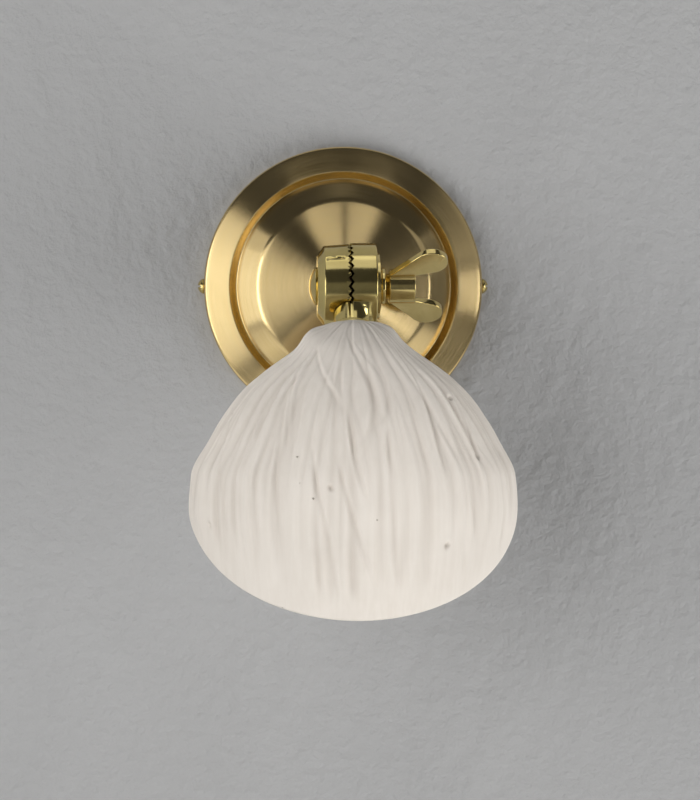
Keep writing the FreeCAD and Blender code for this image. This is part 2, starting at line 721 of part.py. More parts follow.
def neck_with_bore(length, side, other_drum_r):
    """The neck crosses the middle plane, so it is cut back around the other half's drum."""
    neck = rod(NECK_R, 0, length)
    end_edge = [e for e in neck.Edges if isinstance(e.Curve, Part.Circle) and e.CenterOfMass.z > length / 2]
    neck = neck.makeFillet(NECK_END_ROUND, end_edge)
    face_x = side * CREST_GAP / 2
    far_x = face_x - side * 2 * NECK_R
    clearance = cross_rod(other_drum_r + NECK_CLEARANCE, min(face_x, far_x), max(face_x, far_x))
    return neck.cut(clearance)


def finish_half(half, side, end_x, end_wall, neck_length, outer_r, half_turn):
    """Hollows a drum with its neck for the leads, adds the boss and cuts the teeth."""
    floor_x = end_x - side * end_wall
    half = half.cut(cross_rod(CAVITY_R, min(0, floor_x), max(0, floor_x)))
    boss_x = side * FRICTION_T / 2
    half = half.fuse(cross_rod(BOSS_R, min(boss_x, floor_x), max(boss_x, floor_x)))
    half = half.cut(cross_rod(BOLT_R + RUNNING_FIT, -abs(end_x) - 1, abs(end_x) + 1))
    thread_end = neck_length - NIPPLE_GRIP - THREAD_RELIEF
    half = half.cut(rod(NIPPLE_R + SCREW_FIT, thread_end, neck_length + 1))
    half = half.cut(rod(WIRE_BORE_R, BOSS_R + 2 * LEAD_R, thread_end + 1, side * WIRE_BORE_SHIFT))
    return half.cut(tooth_grooves(side, outer_r, half_turn))


def index_mark():
    """The short line engraved on the wall half, on the side that faces the room."""
    angle = math.radians(INDEX_MARK_ANGLE)
    radius = ARM_DRUM_R - ARM_DRUM_TAPER / 2
    middle = Vector(-INDEX_MARK_X, -radius * math.cos(angle), radius * math.sin(angle))
    mark = block(INDEX_MARK_LENGTH, 2 * INDEX_MARK_DEPTH, INDEX_MARK_W, ORIGIN)
    mark.rotate(ORIGIN, X_AXIS, -INDEX_MARK_ANGLE)
    mark.translate(middle)
    return placed(mark, AT_JOINT)


def arm_knuckle():
    chamfer_r = ARM_DRUM_R - ARM_DRUM_TAPER
    chamfer_x = -ARM_DRUM_W + ARM_CHAMFER_AXIAL
    drum = turned(
        [
            (-CREST_GAP / 2, 0),
            (-CREST_GAP / 2, ARM_DRUM_R),
            (chamfer_x, chamfer_r),
            (-ARM_DRUM_W, chamfer_r - ARM_CHAMFER_RADIAL),
            (-ARM_DRUM_W, 0),
        ],
        X_AXIS,
    )
    rim = [e for e in drum.Edges if isinstance(e.Curve, Part.Circle) and e.CenterOfMass.x < chamfer_x + 0.1]
    drum = drum.makeFillet(SMALL_ROUND, rim)
    half = drum.fuse(neck_with_bore(ARM_NECK_LENGTH, -1, SHADE_DRUM_R))
    turn_back = -math.radians(ARM_TURN) / TOOTH_PITCH_ANGLE
    half = finish_half(half, -1, -ARM_DRUM_W, ARM_END_WALL, ARM_NECK_LENGTH, ARM_DRUM_R, turn_back)
    return placed(half, ON_ARM_NECK).cut(index_mark())


def shade_knuckle():
    drum = cross_rod(SHADE_DRUM_R, CREST_GAP / 2, SHADE_DRUM_W)
    rim = [e for e in drum.Edges if isinstance(e.Curve, Part.Circle) and e.CenterOfMass.x > SHADE_DRUM_W / 2]
    drum = drum.makeFillet(SHADE_DRUM_ROUND, rim)
    half = drum.fuse(neck_with_bore(SHADE_NECK_LENGTH, 1, ARM_DRUM_R))
    turn_back = -math.radians(SHADE_TURN) / TOOTH_PITCH_ANGLE + 0.5
    half = finish_half(half, 1, SHADE_DRUM_W, SHADE_END_WALL, SHADE_NECK_LENGTH, SHADE_DRUM_R, turn_back)
    return placed(half, ON_SHADE_NECK)


# ---- bolt, clamp and wing nut -------------------------------------------------------------------
def clamp_bolt():
    head = domed_head(BOLT_HEAD_R, BOLT_HEAD_H, 0)
    head.rotate(ORIGIN, Y_AXIS, -90)
    head.translate(Vector(-ARM_DRUM_W, 0, 0))
    shank = cross_rod(BOLT_R, -ARM_DRUM_W - SMALL_ROUND, NUT_HUB_END - BOLT_END_INSET)
    return placed(head.fuse(shank), AT_JOINT)


def friction_washer():
    half_t = FRICTION_T / 2
    washer = cross_rod(BOSS_R, -half_t, half_t).cut(cross_rod(BOLT_R + RUNNING_FIT, -half_t, half_t))
    return placed(washer, AT_JOINT)


def clamp_washer():
    """Dished: it bears on the shade half at its outer edge and on the collar in the middle."""
    hole = BOLT_R + RUNNING_FIT
    back = CLAMP_START + CLAMP_WASHER_DISH
    washer = turned(
        [
            (back, hole),
            (back, CLAMP_COLLAR_R),
            (CLAMP_START, CLAMP_WASHER_R - CLAMP_WASHER_LAND),
            (CLAMP_START, CLAMP_WASHER_R),
            (CLAMP_START + CLAMP_WASHER_SHEET, CLAMP_WASHER_R),
            (CLAMP_WASHER_OUT, CLAMP_COLLAR_R),
            (CLAMP_WASHER_OUT, hole),
        ],
        X_AXIS,
    )
    return placed(washer, AT_JOINT)


def clamp_collar():
    collar = cross_rod(CLAMP_COLLAR_R, CLAMP_WASHER_OUT, CLAMP_COLLAR_OUT)
    collar = collar.makeFillet(SMALL_ROUND, [e for e in collar.Edges if isinstance(e.Curve, Part.Circle)])
    bore = cross_rod(BOLT_R + RUNNING_FIT, CLAMP_WASHER_OUT - 1, CLAMP_COLLAR_OUT + 1)
    return placed(collar.cut(bore), AT_JOINT)


def tangent_point(corner, centre, radius, side):
    """Where a line from a corner touches a circle, on the side given as +1 or -1."""
    away = corner - centre
    angle = math.atan2(away.z, away.x) + side * math.acos(radius / away.Length)
    return centre + Vector(math.cos(angle), 0, math.sin(angle)) * radius


def wing(side):
    """One wing in the XZ plane: two straight edges tangent to a round tip."""
    tip = Vector(NUT_HUB_START + WING_REACH - WING_TIP_R, 0, WING_SPAN - WING_TIP_R)
    outer_root = Vector(NUT_HUB_START, 0, WING_ROOT)
    inner_root = Vector(NUT_HUB_END, 0, WING_ROOT)
    outer_touch = tangent_point(outer_root, tip, WING_TIP_R, -1)
    inner_touch = tangent_point(inner_root, tip, WING_TIP_R, 1)
    tip_point = tip + Vector(1, 0, 1).normalize() * WING_TIP_R
    start = Vector(NUT_HUB_START, 0, 0)
    end = Vector(NUT_HUB_END, 0, 0)
    edges = [
        Part.LineSegment(start, outer_root),
        Part.LineSegment(outer_root, outer_touch),
        Part.Arc(outer_touch, tip_point, inner_touch),
        Part.LineSegment(inner_touch, inner_root),
        Part.LineSegment(inner_root, end),
        Part.LineSegment(end, start),
    ]
    face = Part.Face(Part.Wire([edge.toShape() for edge in edges]))
    plate = face.extrude(Vector(0, WING_SHEET, 0))
    plate.translate(Vector(0, -WING_SHEET / 2, 0))
    sharp = [e for e in plate.Edges if abs(e.CenterOfMass.y) > WING_SHEET / 4 and e.CenterOfMass.z > 1]
    plate = plate.makeFillet(WING_ROUND, sharp)
    if side < 0:
        plate.rotate(ORIGIN, X_AXIS, 180)
    return plate


def wing_nut():
    hub = cross_rod(NUT_HUB_R, NUT_HUB_START, NUT_HUB_END)
    hub = hub.makeFillet(SMALL_ROUND, [e for e in hub.Edges if isinstance(e.Curve, Part.Circle)])
    face = cross_rod(NUT_FACE_R, CLAMP_COLLAR_OUT, NUT_HUB_START + SMALL_ROUND)
    nut = hub.fuse(wing(1)).fuse(wing(-1)).fuse(face)
    nut = nut.cut(cross_rod(BOLT_R + RUNNING_FIT, CLAMP_COLLAR_OUT - 1, NUT_HUB_END + 1))
    nut.rotate(ORIGIN, X_AXIS, WING_TURN)
    return placed(nut, AT_JOINT)


# ---- shade --------------------------------------------------------------------------------------
def oval(height, half_width, front, back):
    """A level oval whose middle lies between its front and back reach."""
    stretch = Matrix()
    stretch.A11 = half_width
    stretch.A22 = (front + back) / 2
    ring_edge = Part.makeCircle(1.0).transformGeometry(stretch)
    ring_edge.translate(Vector(0, (back - front) / 2, height))
    return Part.Wire(ring_edge.Edges)


def eased(value, low, high):
    """0 below low, 1 above high and smooth between."""
    share = min(1.0, max(0.0, (value - low) / (high - low)))
    return share * share * (3 - 2 * share)


def skin_stations(wall):
    """Height, half width, front and back reach of each oval. A wall sets them in as on a ball."""
    stations = []
    for drop, width, front, back in SHADE_OUTLINE:
        level = max(0.0, 1 - drop / WIDEST_DROP)
        inward = wall * math.sqrt(1 - level**2)
        height = -drop * SHADE_HEIGHT - wall * level
        half_width = width * SHADE_WIDTH / 2 - inward
        stations.append((height, half_width, front * SHADE_DEPTH / 2 - inward, back * SHADE_DEPTH / 2 - inward))
    return stations


def shade_skin(wall):
    """A closed lofted body, crown at the origin."""
    return Part.makeLoft([oval(*station) for station in skin_stations(wall)], True, False)


def shade_seat():
    """Where the neck's axis meets the outside of the shade, from the crown."""
    return Vector(0, SEAT_BACK * SHADE_DEPTH / 2, -SEAT_DROP * SHADE_HEIGHT)


def run_to_front():
    """Along the neck's axis, from its seat to where it meets the inside of the shade's front."""
    drop = math.radians(SHADE_NECK_DROP)
    along = Vector(0, -math.cos(drop), -math.sin(drop))
    across_axis = Vector(0, -math.sin(drop), math.cos(drop))
    inside = [Vector(0, -front, height) - shade_seat() for height, _, front, _ in skin_stations(SHADE_WALL)]
    for above, below in zip(inside, inside[1:]):
        over, under = above.dot(across_axis), below.dot(across_axis)
        if over > 0 >= under:
            return (above + (below - above) * (over / (over - under))).dot(along)
    raise ValueError("the neck's axis misses the shade's front")


def mouth_place():
    """The mouth's plane passes through the front outline at the shade's full height."""
    above, below = SHADE_OUTLINE[-2:]
    mix = (1 - above[0]) / (below[0] - above[0])
    front = above[2] + (below[2] - above[2]) * mix
    return Placement(
        Vector(0, -front * SHADE_DEPTH / 2, -SHADE_HEIGHT), Rotation(X_AXIS, MOUTH_TILT)
    )


def skin_levels():
    """Height, half width, front and back reach of the plain outer skin at close steps down it."""
    skin = max(shade_skin(0).Faces, key=lambda face: face.Area).Surface
    levels = []
    for j in range(SKIN_ROWS):
        around = [skin.value(k / SKIN_POINTS, j / (SKIN_ROWS - 1)) for k in range(SKIN_POINTS)]
        reach = [point.y for point in around]
        levels.append((around[0].z, max(point.x for point in around), -min(reach), max(reach)))
    return levels


def ribbed_hoop(height, half_width, front, back):
    """A closed curve round one level, with a groove at each of the main grooves' places."""
    half_depth, middle = (front + back) / 2, (back - front) / 2
    size = (half_width + half_depth) / 2
    begun = eased(size, GROOVE_START, GROOVE_FULL)
    groove_w = GROOVE_HALF_WIDTH * min(1.0, size / GROOVE_WIDE)
    to_mouth = mouth_place().inverse()
    points = []
    for k in range(SKIN_POINTS):
        angle = 2 * math.pi * k / SKIN_POINTS + math.pi
        point = Vector(half_width * math.sin(angle), middle - half_depth * math.cos(angle), height)
        outward = Vector(math.sin(angle) / half_width, -math.cos(angle) / half_depth, 0).normalize()
        stretch = math.hypot(half_width * math.cos(angle), half_depth * math.sin(angle))
        groove = 0.0
        for place in GROOVE_ANGLES:
            turn = (angle - math.radians(place) + math.pi) % (2 * math.pi) - math.pi
            groove += math.exp(-((turn * stretch / groove_w) ** 2))
        above_lip = eased(to_mouth.multVec(point).z, LIP_PLAIN, LIP_PLAIN + LIP_FADE)
        points.append(point - outward * (GROOVE_DEPTH * min(1.0, groove) * begun * above_lip))
    hoop = Part.BSplineCurve()
    hoop.interpolate(Points=points, PeriodicFlag=True, Parameters=[float(k) for k in range(SKIN_POINTS + 1)])
    return hoop


def level_cap(edge, direction):
    face = Part.Face(Part.Wire(edge))
    return face if face.normalAt(0, 0).dot(direction) > 0 else face.reversed()


def ribbed_skin():
    """The outer skin with its main grooves: one smooth surface through all the hoops, closed by two caps."""
    hoops = [ribbed_hoop(*level) for level in skin_levels()]
    columns = []
    for poles in zip(*[hoop.getPoles() for hoop in hoops]):
        column = Part.BSplineCurve()
        column.interpolate(Points=list(poles), Parameters=[float(j) for j in range(SKIN_ROWS)])
        columns.append(column)
    hoop, column = hoops[0], columns[0]
    skin = Part.BSplineSurface()
    skin.buildFromPolesMultsKnots(
        [line.getPoles() for line in columns],
        hoop.getMultiplicities(),
        column.getMultiplicities(),
        hoop.getKnots(),
        column.getKnots(),
        True,
        False,
        hoop.Degree,
        column.Degree,
    )
    side = skin.toShape()
    ends = sorted((e for e in side.Edges if e.isClosed()), key=lambda e: e.BoundBox.ZMax)
    caps = [level_cap(ends[0], Vector(0, 0, -1)), level_cap(ends[-1], Vector(0, 0, 1))]
    return Part.makeSolid(Part.makeShell([side.reversed()] + caps))


def open_shell():
    """The two skins, cut off along the mouth's plane and rounded there."""
    mouth = mouth_place()
    below = block(
        2 * SHADE_WIDTH, 4 * SHADE_DEPTH, 2 * SHADE_HEIGHT, Vector(0, SHADE_DEPTH, -SHADE_HEIGHT)
    )
    shell = ribbed_skin().cut(shade_skin(SHADE_WALL)).cut(placed(below, mouth))
    to_mouth = mouth.inverse()
    rim = [e for e in shell.Edges if all(abs(to_mouth.multVec(v.Point).z) < 0.01 for v in e.Vertexes)]
    return shell.makeFillet(SHADE_RIM_ROUND, rim)


def shade():
    stand = Placement(ON_SHADE_NECK.multVec(Vector(0, 0, STACK_SEAT)) - shade_seat(), Rotation())
    shell = placed(open_shell(), stand)
    pad = placed(rod(SEAT_R, STACK_SEAT, STACK_INNER_SEAL), ON_SHADE_NECK)
    outside = placed(rod(SEAT_R, SHADE_NECK_LENGTH - 2, STACK_SEAT), ON_SHADE_NECK)
    inside = placed(rod(SEAT_R, STACK_INNER_SEAL, HOLDER_FRONT), ON_SHADE_NECK)
    hole = placed(rod(NIPPLE_R + SCREW_FIT, STACK_CAP, HOLDER_FRONT), ON_SHADE_NECK)
    return shell.fuse(pad).cut([outside, inside, hole])


def shade_cap():
    cap = rod(CAP_R, STACK_CAP, STACK_CAP + CAP_T)
    rim = [e for e in cap.Edges if isinstance(e.Curve, Part.Circle) and e.CenterOfMass.z < STACK_CAP + CAP_T / 2]
    cap = cap.makeFillet(CAP_ROUND, rim)
    return placed(cap.cut(rod(NIPPLE_R + SCREW_FIT, 0, STACK_SEAT)), ON_SHADE_NECK)


def on_shade_nipple(outer, start, thickness):
    return placed(ring(outer, NIPPLE_R + SCREW_FIT, start, start + thickness), ON_SHADE_NECK)


def outer_seal():
    return on_shade_nipple(SEAL_R, STACK_OUTER_SEAL, SEAL_T)


def inner_seal():
    return on_shade_nipple(SEAL_R, STACK_INNER_SEAL, SEAL_T)


def inner_washer():
    return on_shade_nipple(INNER_WASHER_R, STACK_INNER_WASHER, INNER_WASHER_T)


def shade_locknut():
    nut = hexagon_nut(LOCKNUT_FLATS, NIPPLE_R + SCREW_FIT, STACK_LOCKNUT, STACK_BRIDGE)
    return placed(nut, ON_SHADE_NECK)


def shade_nipple():
    start = SHADE_NECK_LENGTH - NIPPLE_GRIP
    return placed(ring(NIPPLE_R, NIPPLE_BORE_R, start, STACK_HOLDER), ON_SHADE_NECK)


# ---- lampholder and lamp, on the shade's neck ---------------------------------------------------
def across(half_pitch):
    return [side * half_pitch for side in (-1, 1)]


def contact_back():
    return SOCKET_FLOOR - CONTACT_LENGTH


def holder_bridge():
    bridge = ring(BRIDGE_R, NIPPLE_R + SCREW_FIT, STACK_BRIDGE, STACK_HOLDER)
    for y in across(HOLDER_SCREW_PITCH / 2):
        bridge = bridge.cut(rod(HOLDER_SCREW_R + SCREW_FIT, STACK_BRIDGE, STACK_HOLDER, 0, y))
    return placed(bridge, ON_SHADE_NECK)


def holder_screws():
    screws = []
    for y in across(HOLDER_SCREW_PITCH / 2):
        shank = rod(HOLDER_SCREW_R, STACK_BRIDGE, STACK_BRIDGE + HOLDER_SCREW_LENGTH, 0, y)
        head = rod(HOLDER_SCREW_HEAD_R, STACK_BRIDGE - HOLDER_SCREW_HEAD_H, STACK_BRIDGE, 0, y)
        head = head.cut(hexagon_clear())
        screws.append(placed(shank.fuse(head), ON_SHADE_NECK))
    return Part.makeCompound(screws)


def hexagon_clear():
    """Room for the locknut beside the screw heads."""
    return rod(LOCKNUT_FLATS / math.sqrt(3) + SCREW_FIT, STACK_LOCKNUT - 1, STACK_BRIDGE)


def lampholder():
    body = rod(HOLDER_R, STACK_HOLDER, HOLDER_FRONT)
    front = [e for e in body.Edges if isinstance(e.Curve, Part.Circle)]
    body = body.makeFillet(CAP_ROUND, front)
    body = body.cut(rod(HOLDER_RECESS_R, STACK_HOLDER - 1, STACK_HOLDER + HOLDER_RECESS_DEPTH))
    middle = Vector(0, 0, (SOCKET_FLOOR + HOLDER_FRONT + 1) / 2)
    body = body.cut(block(SOCKET_W, SOCKET_T, SOCKET_DEPTH + 1, middle))
    for x in across(PIN_PITCH / 2):
        body = body.cut(rod(CONTACT_R + SCREW_FIT, STACK_HOLDER, SOCKET_FLOOR + 1, x))
    for y in across(HOLDER_SCREW_PITCH / 2):
        depth = HOLDER_SCREW_LENGTH + STACK_BRIDGE + THREAD_RELIEF
        body = body.cut(rod(HOLDER_SCREW_R + SCREW_FIT, STACK_HOLDER - 1, depth, 0, y))
    return placed(body, ON_SHADE_NECK)


def holder_contacts():
    contacts = []
    for x in across(PIN_PITCH / 2):
        sleeve = rod(CONTACT_R, contact_back(), SOCKET_FLOOR, x)
        contacts.append(sleeve.cut(rod(CONTACT_BORE_R, contact_back() + 1, SOCKET_FLOOR, x)))
    return placed(Part.makeCompound(contacts), ON_SHADE_NECK)


def lamp_base():
    pinch_w = SOCKET_W - 2 * LAMP_GAP
    pinch_t = SOCKET_T - 2 * LAMP_GAP
    middle = Vector(0, 0, (LAMP_PINCH_BACK + HOLDER_FRONT) / 2)
    pinch = block(pinch_w, pinch_t, HOLDER_FRONT - LAMP_PINCH_BACK, middle)
    base = pinch.fuse(rod(LAMP_COLLAR_R, HOLDER_FRONT, LAMP_COVER_BACK))
    for x in across(PIN_PITCH / 2):
        base = base.cut(rod(PIN_R, LAMP_PINCH_BACK - 1, LAMP_PINCH_BACK + PIN_LENGTH / 2, x))
    return placed(base, ON_SHADE_NECK)


def lamp_pins():
    back = contact_back() + 1 + THREAD_RELIEF / 2
    pins = [rod(PIN_R, back, LAMP_PINCH_BACK + PIN_LENGTH / 2, x) for x in across(PIN_PITCH / 2)]
    return placed(Part.makeCompound(pins), ON_SHADE_NECK)


def lamp_capsule(radius, front):
    """A round-ended rod that starts on the lamp's collar."""
    middle = front - radius
    return rod(radius, LAMP_COVER_BACK, middle).fuse(Part.makeSphere(radius, Vector(0, 0, middle)))


def lamp_tip():
    return STACK_SEAT + run_to_front() - LAMP_ROOM


def lamp_cover():
    inner_r = LAMP_COVER_R - LAMP_COVER_WALL
    hollow = lamp_capsule(inner_r, lamp_tip() - LAMP_COVER_WALL)
    return placed(lamp_capsule(LAMP_COVER_R, lamp_tip()).cut(hollow), ON_SHADE_NECK)


def lamp_core():
    return placed(rod(LAMP_CORE_R, LAMP_COVER_BACK, lamp_tip() - LAMP_CORE_GAP), ON_SHADE_NECK)


# ---- write every piece --------------------------------------------------------------------------
PIECES = (
    wall_bracket,
    cable_bush,
    cover_plate,
    side_screws,
    terminal_block,
    terminal_inserts,
    terminal_screws,
    terminal_fixing,
    earth_screw,
    earth_washer,
    earth_tags,
    earth_lead,
    feed_leads,
    neck_collar,
    arm_nipple,
    arm_washer,
    arm_lock_washer,
    arm_locknut,
    arm_knuckle,
    clamp_bolt,
    friction_washer,
    clamp_washer,
    clamp_collar,
    wing_nut,
    shade_knuckle,
    shade_nipple,
    shade_cap,
    outer_seal,
    shade,
    inner_seal,
    inner_washer,
    shade_locknut,
    holder_bridge,
    holder_screws,
    lampholder,
    holder_contacts,
    lamp_leads,
    lamp_base,
    lamp_pins,
    lamp_core,
    lamp_cover,
)

os.makedirs("parts", exist_ok=True)
for make_piece in PIECES:
    piece = make_piece()
    if not piece.isValid():
        raise ValueError(make_piece.__name__ + " is not a valid solid")
    piece.exportStep("parts/" + make_piece.__name__ + ".step")
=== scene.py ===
# Wall sconce: a round spun brass cover, a toothed tilting joint clamped by a wing nut, and an unglazed
# ceramic clam shade. Metres; +X to the right, +Y into the wall, +Z up; the wall is the plane Y = 0.
import json
import math

import bmesh
import bpy
import numpy as np
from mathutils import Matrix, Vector


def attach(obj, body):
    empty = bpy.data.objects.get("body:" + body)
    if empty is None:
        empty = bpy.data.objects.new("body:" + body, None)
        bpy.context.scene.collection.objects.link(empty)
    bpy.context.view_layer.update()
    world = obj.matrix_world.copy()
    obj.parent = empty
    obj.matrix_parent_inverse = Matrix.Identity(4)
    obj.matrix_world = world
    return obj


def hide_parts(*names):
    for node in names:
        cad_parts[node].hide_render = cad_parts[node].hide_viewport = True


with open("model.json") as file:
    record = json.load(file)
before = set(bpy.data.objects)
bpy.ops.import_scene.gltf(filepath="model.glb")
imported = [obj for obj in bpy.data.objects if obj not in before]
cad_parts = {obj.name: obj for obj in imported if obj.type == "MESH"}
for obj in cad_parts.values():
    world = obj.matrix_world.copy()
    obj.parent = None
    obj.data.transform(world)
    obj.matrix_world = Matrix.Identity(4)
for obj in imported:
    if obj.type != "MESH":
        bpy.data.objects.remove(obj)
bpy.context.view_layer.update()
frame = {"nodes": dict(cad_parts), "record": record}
nodes = frame["nodes"]
scene = bpy.context.scene
scene.view_settings.view_transform = "Standard"
MM = 0.001

# ---- camera -------------------------------------------------------------------------------------
# The photograph was taken from 1.3 m away, level with the cover and a little to its left, with a
# long lens tipped slightly down. The distances are in metres and the angles in degrees.
FOCAL_LENGTH, SENSOR_WIDTH = 147.36, 36.0
CAMERA_AWAY, CAMERA_LEFT = 1.300, 0.063
CAMERA_DIP, CAMERA_TURN = 1.99, 2.905
lens = bpy.data.cameras.new("room_camera")
lens.lens = FOCAL_LENGTH
lens.sensor_width = SENSOR_WIDTH
lens.clip_start = 0.05
camera = bpy.data.objects.new("room_camera", lens)
camera.location = (-CAMERA_LEFT, -CAMERA_AWAY, 0.0)
camera.rotation_euler = (math.radians(90 - CAMERA_DIP), 0.0, math.radians(-CAMERA_TURN))
scene.collection.objects.link(camera)
scene.camera = camera


# ---- lights -------------------------------------------------------------------------------------
# A window on the left gives most of the light and the soft shadow to the right, and a broad low lamp
# on the right fills it. Other lamps show only in the brass, as bands and fans, and eight of them only
# in one piece: five in the cover and three in the joint, which are linked to them below.
LIGHTS_ROOM, SHOWS_IN_BRASS = "lights the room", "shows in the brass"
WHITE, DAYLIGHT, CREAM = (1.0, 1.0, 1.0), (1.0, 0.995, 0.985), (1.0, 0.99, 0.96)
OBJECT_MIDDLE, CONE_TOP, ABOVE_JOINT = (0.0, -0.05, -0.03), (0.0, -0.016, 0.024), (0.0, -0.05, 0.10)


def softbox(name, use, angles, distance, size, radiance, colour=WHITE, aim=OBJECT_MIDDLE):
    """A lamp facing its aim. Its angles are off the wall's normal and clockwise from up."""
    spread, turn = (math.radians(angle) for angle in angles)
    width, height = size
    sideways = math.sin(spread)
    way = Vector((sideways * math.sin(turn), -math.cos(spread), sideways * math.cos(turn)))
    panel = bpy.data.lights.new(name, "AREA")
    panel.shape = "RECTANGLE"
    panel.size, panel.size_y = width, height
    panel.energy = radiance * math.pi * width * height
    panel.color = colour
    lamp = bpy.data.objects.new(name, panel)
    lamp.location = Vector(aim) + way * distance
    lamp.rotation_euler = (-way).to_track_quat("-Z", "Y").to_euler()
    lamp.visible_camera = False
    lamp.visible_glossy = use == SHOWS_IN_BRASS
    lamp.visible_diffuse = use == LIGHTS_ROOM
    scene.collection.objects.link(lamp)
    return lamp


# Each lamp: its angles, its distance, its width and height in metres, and its radiance.
softbox("window_left", LIGHTS_ROOM, (42, -87), 2.2, (1.9, 1.7), 4.0, DAYLIGHT)
softbox("fill_low_right", LIGHTS_ROOM, (65, 114), 2.0, (1.7, 1.7), 4.1, DAYLIGHT)
softbox("sky_above", LIGHTS_ROOM, (62, -10), 2.0, (1.6, 1.6), 0.5)
softbox("window_card", SHOWS_IN_BRASS, (52, -90), 2.2, (2.50, 1.75), 1.04)
softbox("window_middle", SHOWS_IN_BRASS, (44, -92), 2.0, (0.35, 1.2), 2.8)
cover_lamps = [
    softbox("strip_above_left", SHOWS_IN_BRASS, (24.1, -14.2), 0.245, (0.065, 0.052), 0.72, CREAM, CONE_TOP),
    softbox("strip_above_right", SHOWS_IN_BRASS, (25.5, 24.6), 0.248, (0.055, 0.052), 0.72, CREAM, CONE_TOP),
    softbox("window_top", SHOWS_IN_BRASS, (70, -61), 2.2, (0.7, 0.5), 0.7),
    softbox("card_right", SHOWS_IN_BRASS, (54, 66), 2.2, (1.4, 0.9), 0.30),
    softbox("lamp_low_right", SHOWS_IN_BRASS, (21, 116), 2.1, (0.44, 0.40), 2.2),
]
softbox("lamp_right", SHOWS_IN_BRASS, (42, 91), 2.1, (0.16, 0.42), 3.6)
joint_lamps = [
    softbox("card_above", SHOWS_IN_BRASS, (62, 0), 0.34, (0.40, 0.30), 0.68, aim=ABOVE_JOINT),
    softbox("card_far_left", SHOWS_IN_BRASS, (86, -90), 2.2, (0.9, 0.9), 2.4),
    softbox("card_far_right", SHOWS_IN_BRASS, (74, 93), 2.2, (0.9, 0.9), 3.4),
]

# Behind the wall one weak lamp shows the back of the parts, which no room light reaches.
back_panel = bpy.data.lights.new("lamp_behind", "AREA")
back_panel.size = 1.2
back_panel.energy = 10.0
back_lamp = bpy.data.objects.new("lamp_behind", back_panel)
back_lamp.location = (0.0, 1.2, 0.2)
back_lamp.rotation_euler = (math.radians(-90), 0.0, 0.0)
scene.collection.objects.link(back_lamp)

# The room by height, from straight down (0) to straight up (1): each stop's height and its tone. A
# pale table stands low down, the front and most of the top are dark, and the ceiling is pale again.
# The backdrop is what the camera sees past the wall.
FLOOR_COLOUR, CEILING_COLOUR = (0.36, 0.36, 0.35, 1), (0.45, 0.45, 0.44, 1)
BACKDROP = (0.40, 0.40, 0.40, 1)
YELLOWED = 0.98  # the share of blue in each tone, which makes the room a little warm
ROOM_TONES = (
    (0.09, 0.40),
    (0.19, 0.85),
    (0.27, 0.70),
    (0.33, 0.10),
    (0.45, 0.15),
    (0.56, 0.15),
    (0.61, 0.05),
    (0.90, 0.05),
    (0.975, 0.06),
    (0.99, 0.40),
)
world = bpy.data.worlds.new("room")
scene.world = world
world.use_nodes = True
tree = world.node_tree
tree.nodes.clear()
direction = tree.nodes.new("ShaderNodeTexCoord")
parts = tree.nodes.new("ShaderNodeSeparateXYZ")
level = tree.nodes.new("ShaderNodeMapRange")
level.inputs["From Min"].default_value = -1.0
level.inputs["From Max"].default_value = 1.0
ramp = tree.nodes.new("ShaderNodeValToRGB")
ramp.color_ramp.elements[0].position = 0.0
ramp.color_ramp.elements[0].color = FLOOR_COLOUR
ramp.color_ramp.elements[1].position = 1.0
ramp.color_ramp.elements[1].color = CEILING_COLOUR
for place, tone in ROOM_TONES:
    stop = ramp.color_ramp.elements.new(place)
    stop.color = (tone, tone, YELLOWED * tone, 1)
room_light = tree.nodes.new("ShaderNodeBackground")
backdrop = tree.nodes.new("ShaderNodeBackground")
backdrop.inputs["Color"].default_value = BACKDROP
path = tree.nodes.new("ShaderNodeLightPath")
chosen = tree.nodes.new("ShaderNodeMixShader")
output = tree.nodes.new("ShaderNodeOutputWorld")
tree.links.new(direction.outputs["Generated"], parts.inputs["Vector"])
tree.links.new(parts.outputs["Z"], level.inputs["Value"])
tree.links.new(level.outputs["Result"], ramp.inputs["Fac"])
tree.links.new(ramp.outputs["Color"], room_light.inputs["Color"])
tree.links.new(path.outputs["Is Camera Ray"], chosen.inputs["Fac"])
tree.links.new(room_light.outputs["Background"], chosen.inputs[1])
tree.links.new(backdrop.outputs["Background"], chosen.inputs[2])
tree.links.new(chosen.outputs["Shader"], output.inputs["Surface"])


